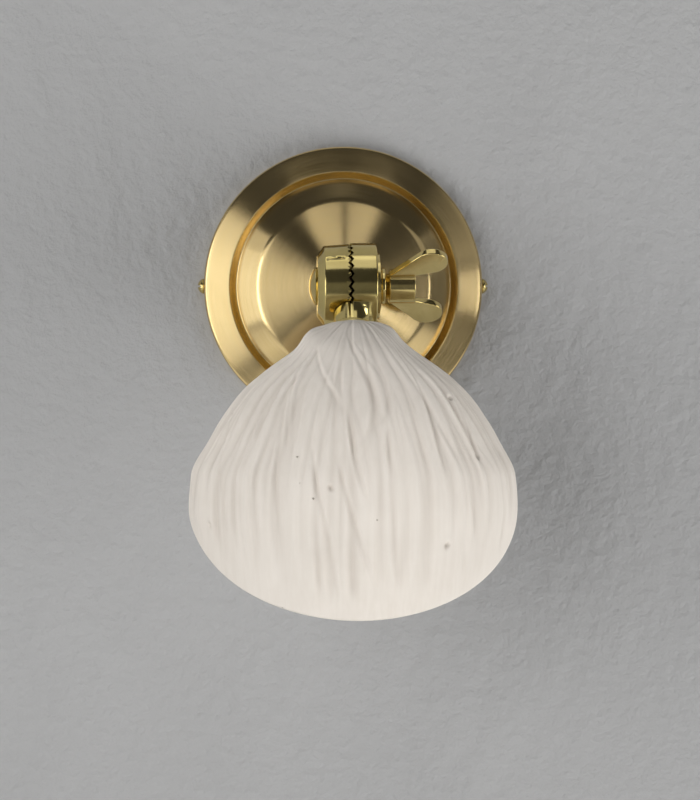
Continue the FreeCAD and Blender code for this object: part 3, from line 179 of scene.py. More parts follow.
# ---- wall ---------------------------------------------------------------------------------------
# A plain painted plaster wall, pale grey with a faint trowelled grain. It is see-through from
# behind, so that the back of the light can be looked at.
class Finish:
    """A material's node tree with short ways to add and join nodes."""

    def __init__(self, name):
        self.material = bpy.data.materials.new(name)
        self.material.use_nodes = True
        self.tree = self.material.node_tree
        self.shader = self.tree.nodes["Principled BSDF"]
        self.output = self.tree.nodes["Material Output"]
        self.place = self.tree.nodes.new("ShaderNodeTexCoord").outputs["Object"]

    def node(self, kind, settings=None, **sockets):
        node = self.tree.nodes.new(kind)
        for key, value in (settings or {}).items():
            setattr(node, key, value)
        for key, value in sockets.items():
            entry = int(key[1:]) if key[0] == "_" else key.replace("_", " ")
            self.feed(node.inputs[entry], value)
        return node

    def feed(self, socket, value):
        if isinstance(value, bpy.types.NodeSocket):
            self.tree.links.new(value, socket)
        else:
            socket.default_value = value

    def set(self, **sockets):
        for key, value in sockets.items():
            self.feed(self.shader.inputs[key.replace("_", " ")], value)

    def mapped(self, source, scale, turn=(0, 0, 0)):
        return self.node("ShaderNodeMapping", Vector=source, Scale=scale, Rotation=turn).outputs[0]

    def noise(self, source, scale, detail=3.0, roughness=0.55, distortion=0.0):
        look = dict(Detail=detail, Roughness=roughness, Distortion=distortion)
        return self.node("ShaderNodeTexNoise", Vector=source, Scale=scale, **look).outputs["Fac"]

    def math(self, operation, first, second=0.0):
        return self.node("ShaderNodeMath", {"operation": operation}, _0=first, _1=second).outputs[0]

    def span(self, value, low, high, new_low, new_high):
        return self.node(
            "ShaderNodeMapRange", Value=value, From_Min=low, From_Max=high, To_Min=new_low, To_Max=new_high
        ).outputs["Result"]

    def blend(self, share, first, second):
        """Mixes two colours. A Mix node holds its factor, colours and result at these places."""
        mix = self.node("ShaderNodeMix", {"data_type": "RGBA"}, _0=share)
        for entry, colour in ((6, first), (7, second)):
            self.feed(mix.inputs[entry], (*colour, 1) if isinstance(colour, tuple) else colour)
        return mix.outputs[2]

    def bump(self, height, distance, strength=1.0, below=None):
        node = self.node("ShaderNodeBump", Height=height, Distance=distance, Strength=strength)
        if below is not None:
            self.feed(node.inputs["Normal"], below)
        return node.outputs["Normal"]

    def specks(self, scale, core, edge, patch_scale, bare, full):
        """Small round spots that show only in patches."""
        cells = self.node("ShaderNodeTexVoronoi", {"feature": "F1"}, Vector=self.place, Scale=scale)
        spots = self.span(cells.outputs["Distance"], core, edge, 1.0, 0.0)
        patches = self.noise(self.place, patch_scale, detail=1.0)
        return self.math("MULTIPLY", spots, self.span(patches, bare, full, 0.0, 1.0))


PLASTER_DARK, PLASTER_PALE = (0.322, 0.323, 0.325), (0.366, 0.367, 0.369)
plaster = Finish("wall_plaster")
grain = plaster.noise(plaster.place, scale=160.0, detail=5.0, roughness=0.6)
drawn_out = plaster.mapped(plaster.place, (1.0, 1.0, 0.55))
trowel = plaster.noise(drawn_out, scale=9.0, detail=4.0, roughness=0.6, distortion=0.4)
trowelled = plaster.bump(trowel, distance=0.010, strength=0.6)
plaster.set(
    Base_Color=plaster.blend(trowel, PLASTER_DARK, PLASTER_PALE),
    Roughness=0.9,
    Normal=plaster.bump(grain, distance=0.0016, strength=0.9, below=trowelled),
)
clear = plaster.node("ShaderNodeBsdfTransparent")
behind = plaster.node("ShaderNodeNewGeometry").outputs["Backfacing"]
two_sided = plaster.node("ShaderNodeMixShader", _0=behind, _1=plaster.shader.outputs[0], _2=clear.outputs[0])
plaster.tree.links.new(two_sided.outputs[0], plaster.output.inputs["Surface"])

WALL_HALF = 3.0
WALL_GAP = 0.0005  # how far the painted face stands behind the wall's plane
wall_corners = ((-1, -1), (1, -1), (1, 1), (-1, 1))
wall_mesh = bpy.data.meshes.new("wall")
wall_mesh.from_pydata(
    [(right * WALL_HALF, WALL_GAP, up * WALL_HALF) for right, up in wall_corners],
    [],
    [(0, 1, 2, 3)],
)
wall_mesh.materials.append(plaster.material)
wall = bpy.data.objects.new("wall", wall_mesh)
scene.collection.objects.link(wall)
wall.visible_shadow = False


# ---- brass cover --------------------------------------------------------------------------------
# The cover is spun from 1.2 mm brass sheet: a sloping outer ring, a step, a rounded shoulder and a
# shallow cone. It is brushed round and round on the lathe, waxed, and has a few nicks. The outline
# is the outside, from the middle hole to the edge: radius and height off the wall in mm, with the
# radius of each round corner between its ends.
COVER_SHEET = 1.2
COVER_OUTLINE = (
    (5.05, 19.3),
    (10.0, 19.3),
    (34.2, 14.1),
    (42.4, 8.5),
    (45.0, 10.9),
    (55.0, 8.2),
    (55.0, 0.0),
)
COVER_ROUNDS = (0.5, 7.0, 0.6, 0.55, 1.4)
COVER_DIVISIONS = 256
COVER_ROW = 1.6  # the longest run between two rings of points
UPRIGHT = 0.999  # a run steeper than this goes straight off the wall
AXIS_RADIUS = 1e-5
COVER_CRISP = math.radians(40)  # edges sharper than this stay crisp


def rounded(outline, rounds, steps=10):
    """A polyline through an outline whose inner corners are rounded with arcs."""
    corners = [Vector(corner) for corner in outline]
    line = [corners[0]]
    for before, corner, after, radius in zip(corners, corners[1:], corners[2:], rounds):
        inward, outward = (before - corner).normalized(), (after - corner).normalized()
        half = (math.pi - inward.angle(outward)) / 2
        centre = corner + (inward + outward).normalized() * (radius / math.cos(half))
        start = corner + inward * radius * math.tan(half) - centre
        end = corner + outward * radius * math.tan(half) - centre
        for k in range(steps + 1):
            arm = start.lerp(end, k / steps).normalized() * radius
            line.append(centre + arm)
    line.append(corners[-1])
    return line


def subdivided(line, longest):
    """Splits long runs, so that bands of the lathe stay even."""
    finer = [line[0]]
    for start, end in zip(line, line[1:]):
        pieces = max(1, math.ceil((end - start).length / longest))
        finer += [start.lerp(end, k / pieces) for k in range(1, pieces + 1)]
    return finer


def sheet_outline(line, sheet):
    """Closes a line into the section of a sheet: an upright run gets its sheet towards the axis."""
    offset = []
    for k, point in enumerate(line):
        along = (line[min(k + 1, len(line) - 1)] - line[max(k - 1, 0)]).normalized()
        inward = -abs(along.y) if abs(along.y) > UPRIGHT else along.y
        offset.append(point + Vector((inward, -along.x)) * sheet)
    return line + offset[::-1]


def lathe_tree():
    """Geometry Nodes: sweeps a section, given as edges, round a circle so small that it is an axis."""
    group = bpy.data.node_groups.new("lathe", "GeometryNodeTree")
    group.interface.new_socket("Geometry", in_out="INPUT", socket_type="NodeSocketGeometry")
    group.interface.new_socket("Divisions", in_out="INPUT", socket_type="NodeSocketInt")
    group.interface.new_socket("Finish", in_out="INPUT", socket_type="NodeSocketMaterial")
    group.interface.new_socket("Geometry", in_out="OUTPUT", socket_type="NodeSocketGeometry")
    add, join = group.nodes.new, group.links.new
    given, result = add("NodeGroupInput"), add("NodeGroupOutput")
    section = add("GeometryNodeMeshToCurve")
    circle = add("GeometryNodeCurvePrimitiveCircle")
    circle.inputs["Radius"].default_value = AXIS_RADIUS
    sweep = add("GeometryNodeCurveToMesh")
    smooth = add("GeometryNodeSetShadeSmooth")
    realize = add("GeometryNodeRealizeInstances")
    finish = add("GeometryNodeSetMaterial")
    join(given.outputs["Geometry"], section.inputs["Mesh"])
    join(given.outputs["Divisions"], circle.inputs["Resolution"])
    join(circle.outputs["Curve"], sweep.inputs["Curve"])
    join(section.outputs["Curve"], sweep.inputs["Profile Curve"])
    join(sweep.outputs["Mesh"], smooth.inputs["Geometry"])
    join(smooth.outputs["Geometry"], realize.inputs["Geometry"])
    join(realize.outputs["Geometry"], finish.inputs["Geometry"])
    join(given.outputs["Finish"], finish.inputs["Material"])
    join(finish.outputs["Geometry"], result.inputs["Geometry"])
    return group


def set_inputs(modifier, **values):
    """Sets a Geometry Nodes modifier's inputs by their sockets' identifiers."""
    for item in modifier.node_group.interface.items_tree:
        if getattr(item, "in_out", "") == "INPUT" and item.name.replace(" ", "_") in values:
            modifier[item.identifier] = values[item.name.replace(" ", "_")]


def baked(thing):
    """The plain mesh that an object's modifiers give."""
    bpy.context.view_layer.update()
    graph = bpy.context.evaluated_depsgraph_get()
    mesh = bpy.data.meshes.new_from_object(thing.evaluated_get(graph))
    thing.modifiers.clear()
    thing.data = mesh
    return thing


def outward(mesh, merge=1e-6):
    """Merges doubles and turns every face outwards."""
    work = bmesh.new()
    work.from_mesh(mesh)
    bmesh.ops.remove_doubles(work, verts=work.verts, dist=merge)
    bmesh.ops.recalc_face_normals(work, faces=work.faces)
    work.to_mesh(mesh)
    work.free()


def turned_piece(name, section, divisions, material):
    """A closed section in (radius, height off the wall), in mm, turned about the Y axis."""
    mesh = bpy.data.meshes.new(name)
    points = [(r * MM, h * MM, 0.0) for r, h in section]
    mesh.from_pydata(points, [(k, (k + 1) % len(points)) for k in range(len(points))], [])
    piece = bpy.data.objects.new(name, mesh)
    scene.collection.objects.link(piece)
    lathe = piece.modifiers.new("lathe", "NODES")
    lathe.node_group = bpy.data.node_groups.get("lathe") or lathe_tree()
    set_inputs(lathe, Divisions=divisions, Finish=material)
    baked(piece)
    places = np.empty(len(piece.data.vertices) * 3)
    piece.data.vertices.foreach_get("co", places)
    # The sweep goes round Z. Y and Z change places, which also turns the faces, so outward follows.
    places = places.reshape(-1, 3)[:, (0, 2, 1)]
    piece.data.vertices.foreach_set("co", places.ravel())
    outward(piece.data)
    piece.data.shade_smooth()
    piece.data.set_sharp_from_angle(angle=COVER_CRISP)
    return piece


BRASS_BROWN, BRASS_YELLOW = (0.66, 0.488, 0.205), (0.80, 0.608, 0.300)
BRASS_WORN, BRASS_NICK = (0.86, 0.685, 0.405), (0.20, 0.13, 0.06)
spun_brass = Finish("spun_brass")
along = spun_brass.node("ShaderNodeSeparateXYZ", Vector=spun_brass.place)
x, z = along.outputs["X"], along.outputs["Z"]
squares = spun_brass.math("MULTIPLY", x, x), spun_brass.math("MULTIPLY", z, z)
reach = spun_brass.math("SQRT", spun_brass.math("ADD", *squares))
side = spun_brass.math("DIVIDE", x, reach)
rise = spun_brass.math("DIVIDE", z, reach)


def brushed_rings(outwards, around):
    """Places for a pattern of rings about the Y axis: quick changes outwards, slow ones around."""
    return spun_brass.node(
        "ShaderNodeCombineXYZ",
        X=spun_brass.math("MULTIPLY", reach, outwards),
        Y=spun_brass.math("MULTIPLY", side, around),
        Z=spun_brass.math("MULTIPLY", rise, around),
    ).outputs[0]


fine_brush = spun_brass.noise(brushed_rings(2600.0, 1.6), scale=1.0, roughness=0.7)
wide_brush = spun_brass.noise(brushed_rings(420.0, 0.9), scale=1.0, roughness=0.6)
smudges = spun_brass.noise(spun_brass.place, scale=55.0, detail=4.0, roughness=0.6, distortion=0.6)
nicks = spun_brass.specks(190.0, core=0.04, edge=0.11, patch_scale=38.0, bare=0.60, full=0.68)
warm = spun_brass.blend(smudges, BRASS_BROWN, BRASS_YELLOW)
worn = spun_brass.blend(spun_brass.span(fine_brush, 0.3, 0.7, 0.0, 0.35), warm, BRASS_WORN)
brushed = spun_brass.span(fine_brush, 0.3, 0.7, 0.14, 0.18)
smudged = spun_brass.span(smudges, 0.3, 0.7, -0.01, 0.03)
nicked = spun_brass.bump(nicks, distance=-0.0001, strength=0.4)
wavy = spun_brass.bump(wide_brush, distance=0.00003, strength=0.3, below=nicked)
spun_brass.set(
    Base_Color=spun_brass.blend(nicks, worn, BRASS_NICK),
    Metallic=1.0,
    Roughness=spun_brass.math("ADD", brushed, smudged),
    Anisotropic=0.72,
    Anisotropic_Rotation=0.25,
    Tangent=spun_brass.node("ShaderNodeTangent", {"direction_type": "RADIAL", "axis": "Y"}).outputs[0],
    Normal=spun_brass.bump(fine_brush, distance=0.00001, strength=0.4, below=wavy),
)
cover_line = subdivided(rounded(COVER_OUTLINE, COVER_ROUNDS), COVER_ROW)
cover_section = [tuple(point) for point in sheet_outline(cover_line, COVER_SHEET)]
cover = turned_piece("cover_shell", cover_section, COVER_DIVISIONS, spun_brass.material)
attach(cover, "wall_side")
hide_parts("cover_plate")


def only_for(lamps, pieces, name):
    """Keeps lamps to the pieces that they are set up for."""
    lit = bpy.data.collections.new(name)
    for piece in pieces:
        lit.objects.link(piece)
    for lamp in lamps:
        lamp.light_linking.receiver_collection = lit


only_for(cover_lamps, [cover], "lit_cover")


# ---- joint, bolt and clamp ----------------------------------------------------------------------
# The two toothed halves, the bolt, the dished washer, the collar and the wing nut are cast or
# turned brass, polished and then handled. They keep the shapes of the solids, with smooth skins.
SAME_POINT = 2e-6


def smooth_copy(node_name, body, material, sharp=28):
    """A merged, smooth copy of a solid that stands for it. Edges past the sharp angle stay crisp."""
    mesh = nodes[node_name].data.copy()
    mesh.name = node_name + "_skin"
    work = bmesh.new()
    work.from_mesh(mesh)
    bmesh.ops.remove_doubles(work, verts=work.verts, dist=SAME_POINT)
    work.to_mesh(mesh)
    work.free()
    mesh.materials.clear()
    mesh.materials.append(material)
    mesh.shade_smooth()
    mesh.set_sharp_from_angle(angle=math.radians(sharp))
    piece = bpy.data.objects.new(mesh.name, mesh)
    scene.collection.objects.link(piece)
    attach(piece, body)
    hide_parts(node_name)
    return piece


def polished_brass(name, dark, light, roughness, dents):
    """Handled brass: a little duller and browner in patches, with fine scratches and soft dents."""
    brass = Finish(name)
    patches = brass.noise(brass.place, scale=90.0, detail=4.0, roughness=0.6, distortion=0.5)
    hairlines = brass.mapped(brass.place, (3200.0, 300.0, 900.0), (0.4, 0.2, 0.9))
    scratches = brass.noise(hairlines, scale=1.0, roughness=0.65)
    soft = brass.noise(brass.place, scale=320.0, roughness=0.5)
    dulled = brass.span(patches, 0.3, 0.7, roughness * 0.8, roughness * 1.25)
    scratched = brass.span(scratches, 0.35, 0.65, -0.01, 0.03)
    dented = brass.bump(soft, distance=dents, strength=0.3)
    brass.set(
        Base_Color=brass.blend(brass.span(patches, 0.3, 0.7, 0.0, 1.0), dark, light),
        Metallic=1.0,
        Roughness=brass.math("ADD", dulled, scratched),
        Normal=brass.bump(scratches, distance=0.000004, strength=0.25, below=dented),
    )
    return brass.material


SOFT_DENTS = 0.00002
joint_brass = polished_brass("joint_brass", (0.62, 0.50, 0.19), (0.76, 0.62, 0.26), 0.12, SOFT_DENTS)
fastener_brass = polished_brass("fastener_brass", (0.64, 0.50, 0.19), (0.80, 0.64, 0.28), 0.13, SOFT_DENTS)
joint_pieces = [
    smooth_copy("arm_knuckle", "wall_side", joint_brass),
    smooth_copy("neck_collar", "wall_side", joint_brass),
    smooth_copy("shade_knuckle", "shade_side", joint_brass),
    smooth_copy("shade_cap", "shade_side", joint_brass),
    smooth_copy("clamp_bolt", "wall_side", fastener_brass),
    smooth_copy("side_screws", "wall_side", fastener_brass),
    smooth_copy("clamp_washer", "clamp_side", fastener_brass, sharp=20),
    smooth_copy("clamp_collar", "clamp_side", fastener_brass),
    smooth_copy("wing_nut", "nut_side", fastener_brass),
]
only_for(joint_lamps, joint_pieces, "lit_joint")


# ---- ceramic shade ------------------------------------------------------------------------------
# The shade is slip-cast in two halves of a mould taken from a clam, and left unglazed. Ribs run down
# from the crown, fork and fade into a smooth lip. A flat seat takes the neck. Sizes are in mm.
SHADE_WIDTH, SHADE_DEPTH, SHADE_HEIGHT = 122.6, 96.0, 108.2
SHADE_WALL = 4.0
RIM_ROUND = 1.2
MOUTH_TILT = math.radians(38.5)
MOUTH_FRONT = 44.684  # how far in front of the crown the mouth is at its lowest
CROWN = np.array((0.0, -82.994, -12.391))
# Ovals down the shade: the share of the height below the crown, the half width, and the reach to the
# front and to the back, as shares of half the width and of half the depth.
OVALS = np.array(
    (
        (0.000, 0.024, 0.177, -0.115),
        (0.011, 0.126, 0.281, -0.010),
        (0.033, 0.194, 0.375, 0.077),
        (0.070, 0.281, 0.479, 0.177),
        (0.116, 0.388, 0.579, 0.292),
        (0.172, 0.525, 0.677, 0.427),
        (0.236, 0.658, 0.760, 0.573),
        (0.329, 0.788, 0.860, 0.750),
        (0.422, 0.886, 0.927, 0.875),
        (0.532, 0.982, 0.979, 0.958),
        (0.643, 1.000, 1.000, 1.000),
        (0.772, 0.973, 1.000, 1.000),
        (0.902, 0.937, 0.971, 0.958),
        (1.034, 0.876, 0.917, 0.875),
    )
)
WIDEST_DROP = 0.643
# The front, up to this many degrees each way, has finer columns than the back.
FRONT_SIDE = 100
COLUMNS_FRONT, COLUMNS_BACK, ROWS, INNER_ROWS = 360, 60, 190, 14
EDGE_ROWS = (1.2, 0.92, 0.64, 0.38, 0.18, 0.05, 0.0)  # the last rows' distances from the rim
# The main grooves' places round the shade, in degrees from its front, as on the solid.
MAIN_GROOVES = (
    *(-95, -86, -77, -66, -57, -48, -38, -30, -20, -11, -3),
    *(7, 15, 25, 34, 44, 52, 62, 71, 81, 90, 99),
    *(112, 128, 143, 160, 180, 200, 217, 232, 248),
)
# Deeper creases of the front: where each starts and ends as shares of the way down, its places at
# the start, middle and end in degrees, its depth and its half width in mm.
CREASES = (
    (0.08, 0.50, (-15, 6, 2), 0.50, 1.60),
    (0.10, 0.44, (-9, 14, 9), 0.40, 1.40),
    (0.15, 0.43, (-48, -20, -6), 0.35, 1.30),
    (0.10, 0.50, (-41, -35, -26), 0.40, 1.20),
    (0.16, 0.66, (42, 34, 32), 0.50, 0.70),
    (0.42, 0.92, (-48, -41, -39), 0.30, 0.80),
    (0.37, 0.84, (-37, -31, -28), 0.40, 0.75),
    (0.50, 0.97, (-19, -12, -8), 0.50, 0.80),
    (0.55, 0.95, (-8, -1, 7), 0.50, 0.75),
    (0.44, 0.97, (12, 11, 16), 0.45, 0.90),
    (0.22, 0.54, (-47, -35, -29), 0.45, 0.65),
    (0.20, 0.66, (67, 56, 50), 0.35, 0.75),
    (0.48, 0.86, (-77, -58, -52), 0.25, 0.60),
    (0.38, 0.69, (-5, -2, 3), 0.55, 0.70),
    (0.53, 0.85, (42, 42, 46), 0.30, 0.60),
)
# Pits left by air in the slip: place in degrees, share of the way down, radius and depth in mm.
PITS = (
    (51, 0.60, 1.0, 1.6),
    (32, 0.82, 0.9, 1.5),
    (54, 0.40, 0.8, 1.2),
    (-10, 0.63, 0.8, 1.3),
    (-62, 0.86, 0.8, 1.0),
)
# Painted shade in the grooves: the clay is painted darker the deeper its groove, darkest at this depth.
GROOVE_SHADE_DEPTH = 0.85  # how deep a groove is, in mm, where it has its darkest tone
# The crown's lumps: place and spread in degrees, share of the way down and its reach, height in mm.
CROWN_LUMPS = (
    (-82, 34, 0.15, 0.055, 2.6),
    (84, 34, 0.115, 0.050, 1.6),
    (-30, 22, 0.16, 0.05, 0.7),
    (28, 20, 0.18, 0.06, 0.6),
)


def through(knots, values, places):
    """Smooth curves through values at knots, without overshoot."""
    step = np.diff(knots)[:, None]
    slope = np.diff(values, axis=0) / step
    same = slope[:-1] * slope[1:] > 0
    total = slope[:-1] + slope[1:]
    between = 2 * slope[:-1] * slope[1:] / np.where(same, total, 1.0)
    tangent = np.vstack((slope[:1], np.where(same, between, 0.0), slope[-1:]))
    k = np.clip(np.searchsorted(knots, places, side="right") - 1, 0, len(knots) - 2)
    t = ((places - knots[k]) / step[k, 0])[:, None]
    return (
        (1 + 2 * t) * (1 - t) ** 2 * values[k]
        + t * (1 - t) ** 2 * step[k] * tangent[k]
        + t**2 * (3 - 2 * t) * values[k + 1]
        + t**2 * (t - 1) * step[k] * tangent[k + 1]
    )


def skin_levels(wall, samples=700):
    """Height, half width, half depth and middle down the shade, with the length run along the skin."""
    drop, width, front, back = OVALS.T
    level = np.maximum(0.0, 1 - drop / WIDEST_DROP)
    inward = wall * np.sqrt(1 - level**2)
    height = -drop * SHADE_HEIGHT - wall * level
    half_width = width * SHADE_WIDTH / 2 - inward
    half_depth = (front + back) * SHADE_DEPTH / 4 - inward
    middle = (back - front) * SHADE_DEPTH / 4
    table = np.column_stack((height, half_width, half_depth, middle))
    steps = np.hypot(np.diff(height), np.diff((half_width + half_depth) / 2))
    knots = np.concatenate(([0.0], np.cumsum(steps)))
    run = np.linspace(0, knots[-1], samples)
    return run, through(knots, table, run)


def skin_grid(wall, turns, rows):
    """Points down the skin along each meridian, from the crown to the tilted mouth."""
    run, table = skin_levels(wall)
    height, half_width, half_depth, middle = (table[:, k][:, None] for k in range(4))
    y = middle - half_depth * np.cos(turns)[None, :]
    mouth = -SHADE_HEIGHT + math.tan(MOUTH_TILT) * (y + MOUTH_FRONT)
    above = height - mouth
    last = np.argmax(above < 0, axis=0)
    columns = np.arange(len(turns))
    share = above[last - 1, columns] / (above[last - 1, columns] - above[last, columns])
    end = run[last - 1] + share * (run[last] - run[last - 1])
    edge = np.array(EDGE_ROWS)
    body = np.linspace(0, 1, rows - len(edge) + 1)[:-1]
    lengths = np.vstack((body[:, None] * (end - edge[0]), end - edge[:, None]))
    flat = lengths.ravel()
    levels = [np.interp(flat, run, table[:, k]).reshape(lengths.shape) for k in range(4)]
    points = np.stack((levels[1] * np.sin(turns), levels[3] - levels[2] * np.cos(turns), levels[0]), axis=-1)
    return points + CROWN, lengths, end


def grid_normals(points):
    """Outward normals of a grid that closes round its columns."""
    down = np.gradient(points, axis=0)
    round_ = (np.roll(points, -1, axis=1) - np.roll(points, 1, axis=1)) / 2
    normal = np.cross(round_, down)
    length = np.linalg.norm(normal, axis=-1, keepdims=True)
    normal = normal / np.maximum(length, 1e-9)
    normal[0] = normal[1]
    outward_share = (normal * (points - points.mean(axis=(0, 1)))).sum()
    return normal if outward_share > 0 else -normal


front_turns = np.linspace(-FRONT_SIDE, FRONT_SIDE, COLUMNS_FRONT)
back_turns = np.linspace(FRONT_SIDE, 360 - FRONT_SIDE, COLUMNS_BACK + 2)[1:-1]
turns = np.radians(np.concatenate((front_turns, back_turns)))
outer, run_down, full_run = skin_grid(0.0, turns, ROWS)
inner, _, _ = skin_grid(SHADE_WALL, turns, INNER_ROWS + len(EDGE_ROWS))
outer_normals, inner_normals = grid_normals(outer), grid_normals(inner)


def eased(share):
    """A share that starts and ends gently."""
    share = np.clip(share, 0, 1)
    return share * share * (3 - 2 * share)


# Grooves drawn at random: the lowest and highest start and finish (or length), depth and half width.
BROAD_GROOVE = ((-0.1, 0.04), (0.80, 1.08), (0.26, 0.50), (1.1, 1.9))
FINE_GROOVE = ((0.0, 0.3), (0.6, 1.02), (0.10, 0.30), (0.45, 0.70))
FORK_FINISH = ((0.62, 1.04), (0.16, 0.40), (0.55, 1.10))
LOOSE_STRANDS, LOOSE_LENGTH = 44, ((0.18, 0.42), (0.08, 0.26), (0.40, 0.80))
LEFT_STRANDS, LEFT_LENGTH = 9, ((0.22, 0.32), (0.22, 0.36), (0.42, 0.60))
# A groove wanders in a slow wave and a small quick one: size, waves on the way down, and phase.
WANDER_WAVES = (((0.5, 1.0), (0.8, 1.7), (0, 1)), ((0.15, 0.35), (2.4, 4.5), (0, 1)))
SWELLS = 12
FULL_WIDTH_AT = 44.0  # the skin's mm for each radian round, at which a groove has its full width
STEADY = 8.0  # and below which its wandering grows no more
LIP, LIP_FADE, CROWN_FADE = 5.0, 9.0, 6.0  # the smooth lip, and how far the relief takes to grow, in mm
RELIEF_LOWEST, RELIEF_HIGHEST = -1.4, 0.6


def rib_relief(turns, run_down, full_run, seed):
    """Height over the plain skin: main grooves, their forks, the front's creases and fine strands."""
    chance = np.random.default_rng(seed)
    run, table = skin_levels(0.0)
    share = run_down / full_run[None, :]
    half_width, half_depth = (np.interp(run_down, run, table[:, k]) for k in (1, 2))
    speed = np.hypot(half_width * np.cos(turns), half_depth * np.sin(turns)) + 0.6
    steady = np.maximum(speed, STEADY)
    narrowing = np.clip(speed / FULL_WIDTH_AT, 0.25, 1.0)
    softened = 0.42 + 1.5 * eased((share - 0.06) / 0.40)

    def drawn(ranges):
        return [chance.uniform(low, high) for low, high in ranges]

    def wander(scale):
        waves = [drawn(wave) for wave in WANDER_WAVES]
        return scale * sum(size * np.sin(2 * np.pi * (rate * share + phase)) for size, rate, phase in waves)

    def strand(centre, start, finish, depth, width, crest=0.35, fade=0.10):
        """One groove with a soft crest along one side, whose depth comes and goes on its way."""
        gap = (turns[None, :] - centre + np.pi) % (2 * np.pi) - np.pi
        distance = gap * speed
        ends = eased((share - start) / fade) * eased((finish - share) / (1.4 * fade))
        pulse = 0.75 + 0.25 * np.sin(2 * np.pi * (chance.uniform(1.0, 2.5) * share + chance.uniform(0, 1)))
        half = width * narrowing
        side = chance.choice((-1, 1))
        groove = -np.exp(-np.abs(distance / half) ** 1.7)
        shoulder = crest * np.exp(-(((side * distance - 1.7 * half) / (0.8 * half)) ** 2))
        return depth * softened * ends * pulse * (groove + shoulder)

    relief = np.zeros_like(run_down)
    for k, place in enumerate(MAIN_GROOVES):
        base = math.radians(place)
        following = math.radians(MAIN_GROOVES[(k + 1) % len(MAIN_GROOVES)])
        gap = (following - base) % (2 * math.pi)
        centre = base + wander(chance.uniform(0.5, 1.2)) / steady
        relief += strand(centre, *drawn(BROAD_GROOVE))
        relief += strand(centre, *drawn(FINE_GROOVE))
        for side_share in chance.uniform(0.30, 0.70, chance.integers(1, 3)):
            fork_at = chance.uniform(0.08, 0.50)
            parted = eased((share - fork_at) / chance.uniform(0.18, 0.40)) * gap * side_share
            fork = centre + parted + wander(0.4) / steady
            relief += strand(fork, fork_at, *drawn(FORK_FINISH))
    for start, finish, places, depth, width in CREASES:
        at = (share - start) / (finish - start)
        first, middle, last = (math.radians(place) for place in places)
        centre = first * (1 - at) * (1 - 2 * at) + 4 * middle * at * (1 - at) + last * at * (2 * at - 1)
        relief += strand(centre, start - 0.03, finish + 0.04, depth, width, 0.5, 0.09)
    for place in chance.uniform(-98, 98, LOOSE_STRANDS):
        start = chance.uniform(0.15, 0.75)
        centre = math.radians(place) + wander(0.8) / steady
        length, depth, width = drawn(LOOSE_LENGTH)
        relief += strand(centre, start, start + length, depth, width)
    for place in np.linspace(-87, -58, LEFT_STRANDS):
        start = chance.uniform(0.42, 0.55)
        leaning = math.radians(14) * (share - 0.6)
        length, depth, width = drawn(LEFT_LENGTH)
        relief += strand(math.radians(place) + leaning, start, start + length, depth, width)
    swells = np.zeros_like(relief)
    for _ in range(SWELLS):
        rate, lean, phase = chance.integers(8, 30), chance.uniform(-1.6, 1.6), chance.uniform(0, 2 * np.pi)
        wave = np.sin(rate * turns[None, :] + lean * 2 * np.pi * share + phase)
        swells += chance.uniform(0.02, 0.06) * wave
    relief = (np.roll(relief, 1, axis=1) + 2 * relief + np.roll(relief, -1, axis=1)) / 4
    for place, where, radius, depth in PITS:
        gap = (turns[None, :] - math.radians(place)) * speed
        away = np.hypot(gap, (share - where) * full_run[None, :])
        swells -= depth * np.exp(-((away / radius) ** 2))
    from_rim = full_run[None, :] - run_down
    uneven = 2.5 * np.sin(3 * turns[None, :] + 1.0) + 1.5 * np.sin(11 * turns[None, :])
    lip = eased((from_rim - LIP - uneven) / LIP_FADE)
    return (relief + swells) * lip * eased(run_down / CROWN_FADE)


def crown_swell(turns, share):
    """The crown's lumpy shoulders: how far the mould swells out on each side, in mm."""
    swell = np.zeros_like(share)
    for place, spread, where, reach, height in CROWN_LUMPS:
        gap = (turns[None, :] - math.radians(place) + np.pi) % (2 * np.pi) - np.pi
        swell += height * np.exp(-((gap / math.radians(spread)) ** 2) - ((share - where) / reach) ** 2)
    return swell


relief = rib_relief(turns, run_down, full_run, seed=11)
outer = outer + outer_normals * crown_swell(turns, run_down / full_run[None, :])[..., None]
outer = outer + outer_normals * np.clip(relief, RELIEF_LOWEST, RELIEF_HIGHEST)[..., None]

# The rim is rounded on both edges.
for skin, normals, sign in ((outer, outer_normals, -1), (inner, inner_normals, 1)):
    for row, distance in enumerate(reversed(EDGE_ROWS)):
        inset = RIM_ROUND - math.sqrt(max(0.0, RIM_ROUND**2 - (RIM_ROUND - distance) ** 2))
        skin[-1 - row] += sign * inset * normals[-1 - row]


# The seat's outer and inner face lie across the neck's axis, this far along it from the bolt, in mm.
NECK_DROP = math.radians(45.0)
PIVOT = np.array((0.0, -55.0, 0.0))
NECK_WAY = np.array((0.0, -math.cos(NECK_DROP), -math.sin(NECK_DROP)))
SEAT_OUTSIDE, SEAT_INSIDE, SEAT_R = 29.0, 34.0, 11.0
SEAT_BLEND = 1.6
SEAT_REACH = 14  # skin further past the seat than this belongs to the shade's far side


def seated(points, level):
    """Flattens the skin to the seat's plane around the neck's axis."""
    along_neck = (points - PIVOT) @ NECK_WAY
    off_axis = np.linalg.norm(points - PIVOT - along_neck[..., None] * NECK_WAY, axis=-1)
    near_seat = along_neck < SEAT_INSIDE + SEAT_REACH
    share = eased((SEAT_R + SEAT_BLEND - off_axis) / SEAT_BLEND) * near_seat
    return points + (share * (level - along_neck))[..., None] * NECK_WAY


outer = seated(outer, SEAT_OUTSIDE)
inner = seated(inner, SEAT_INSIDE)

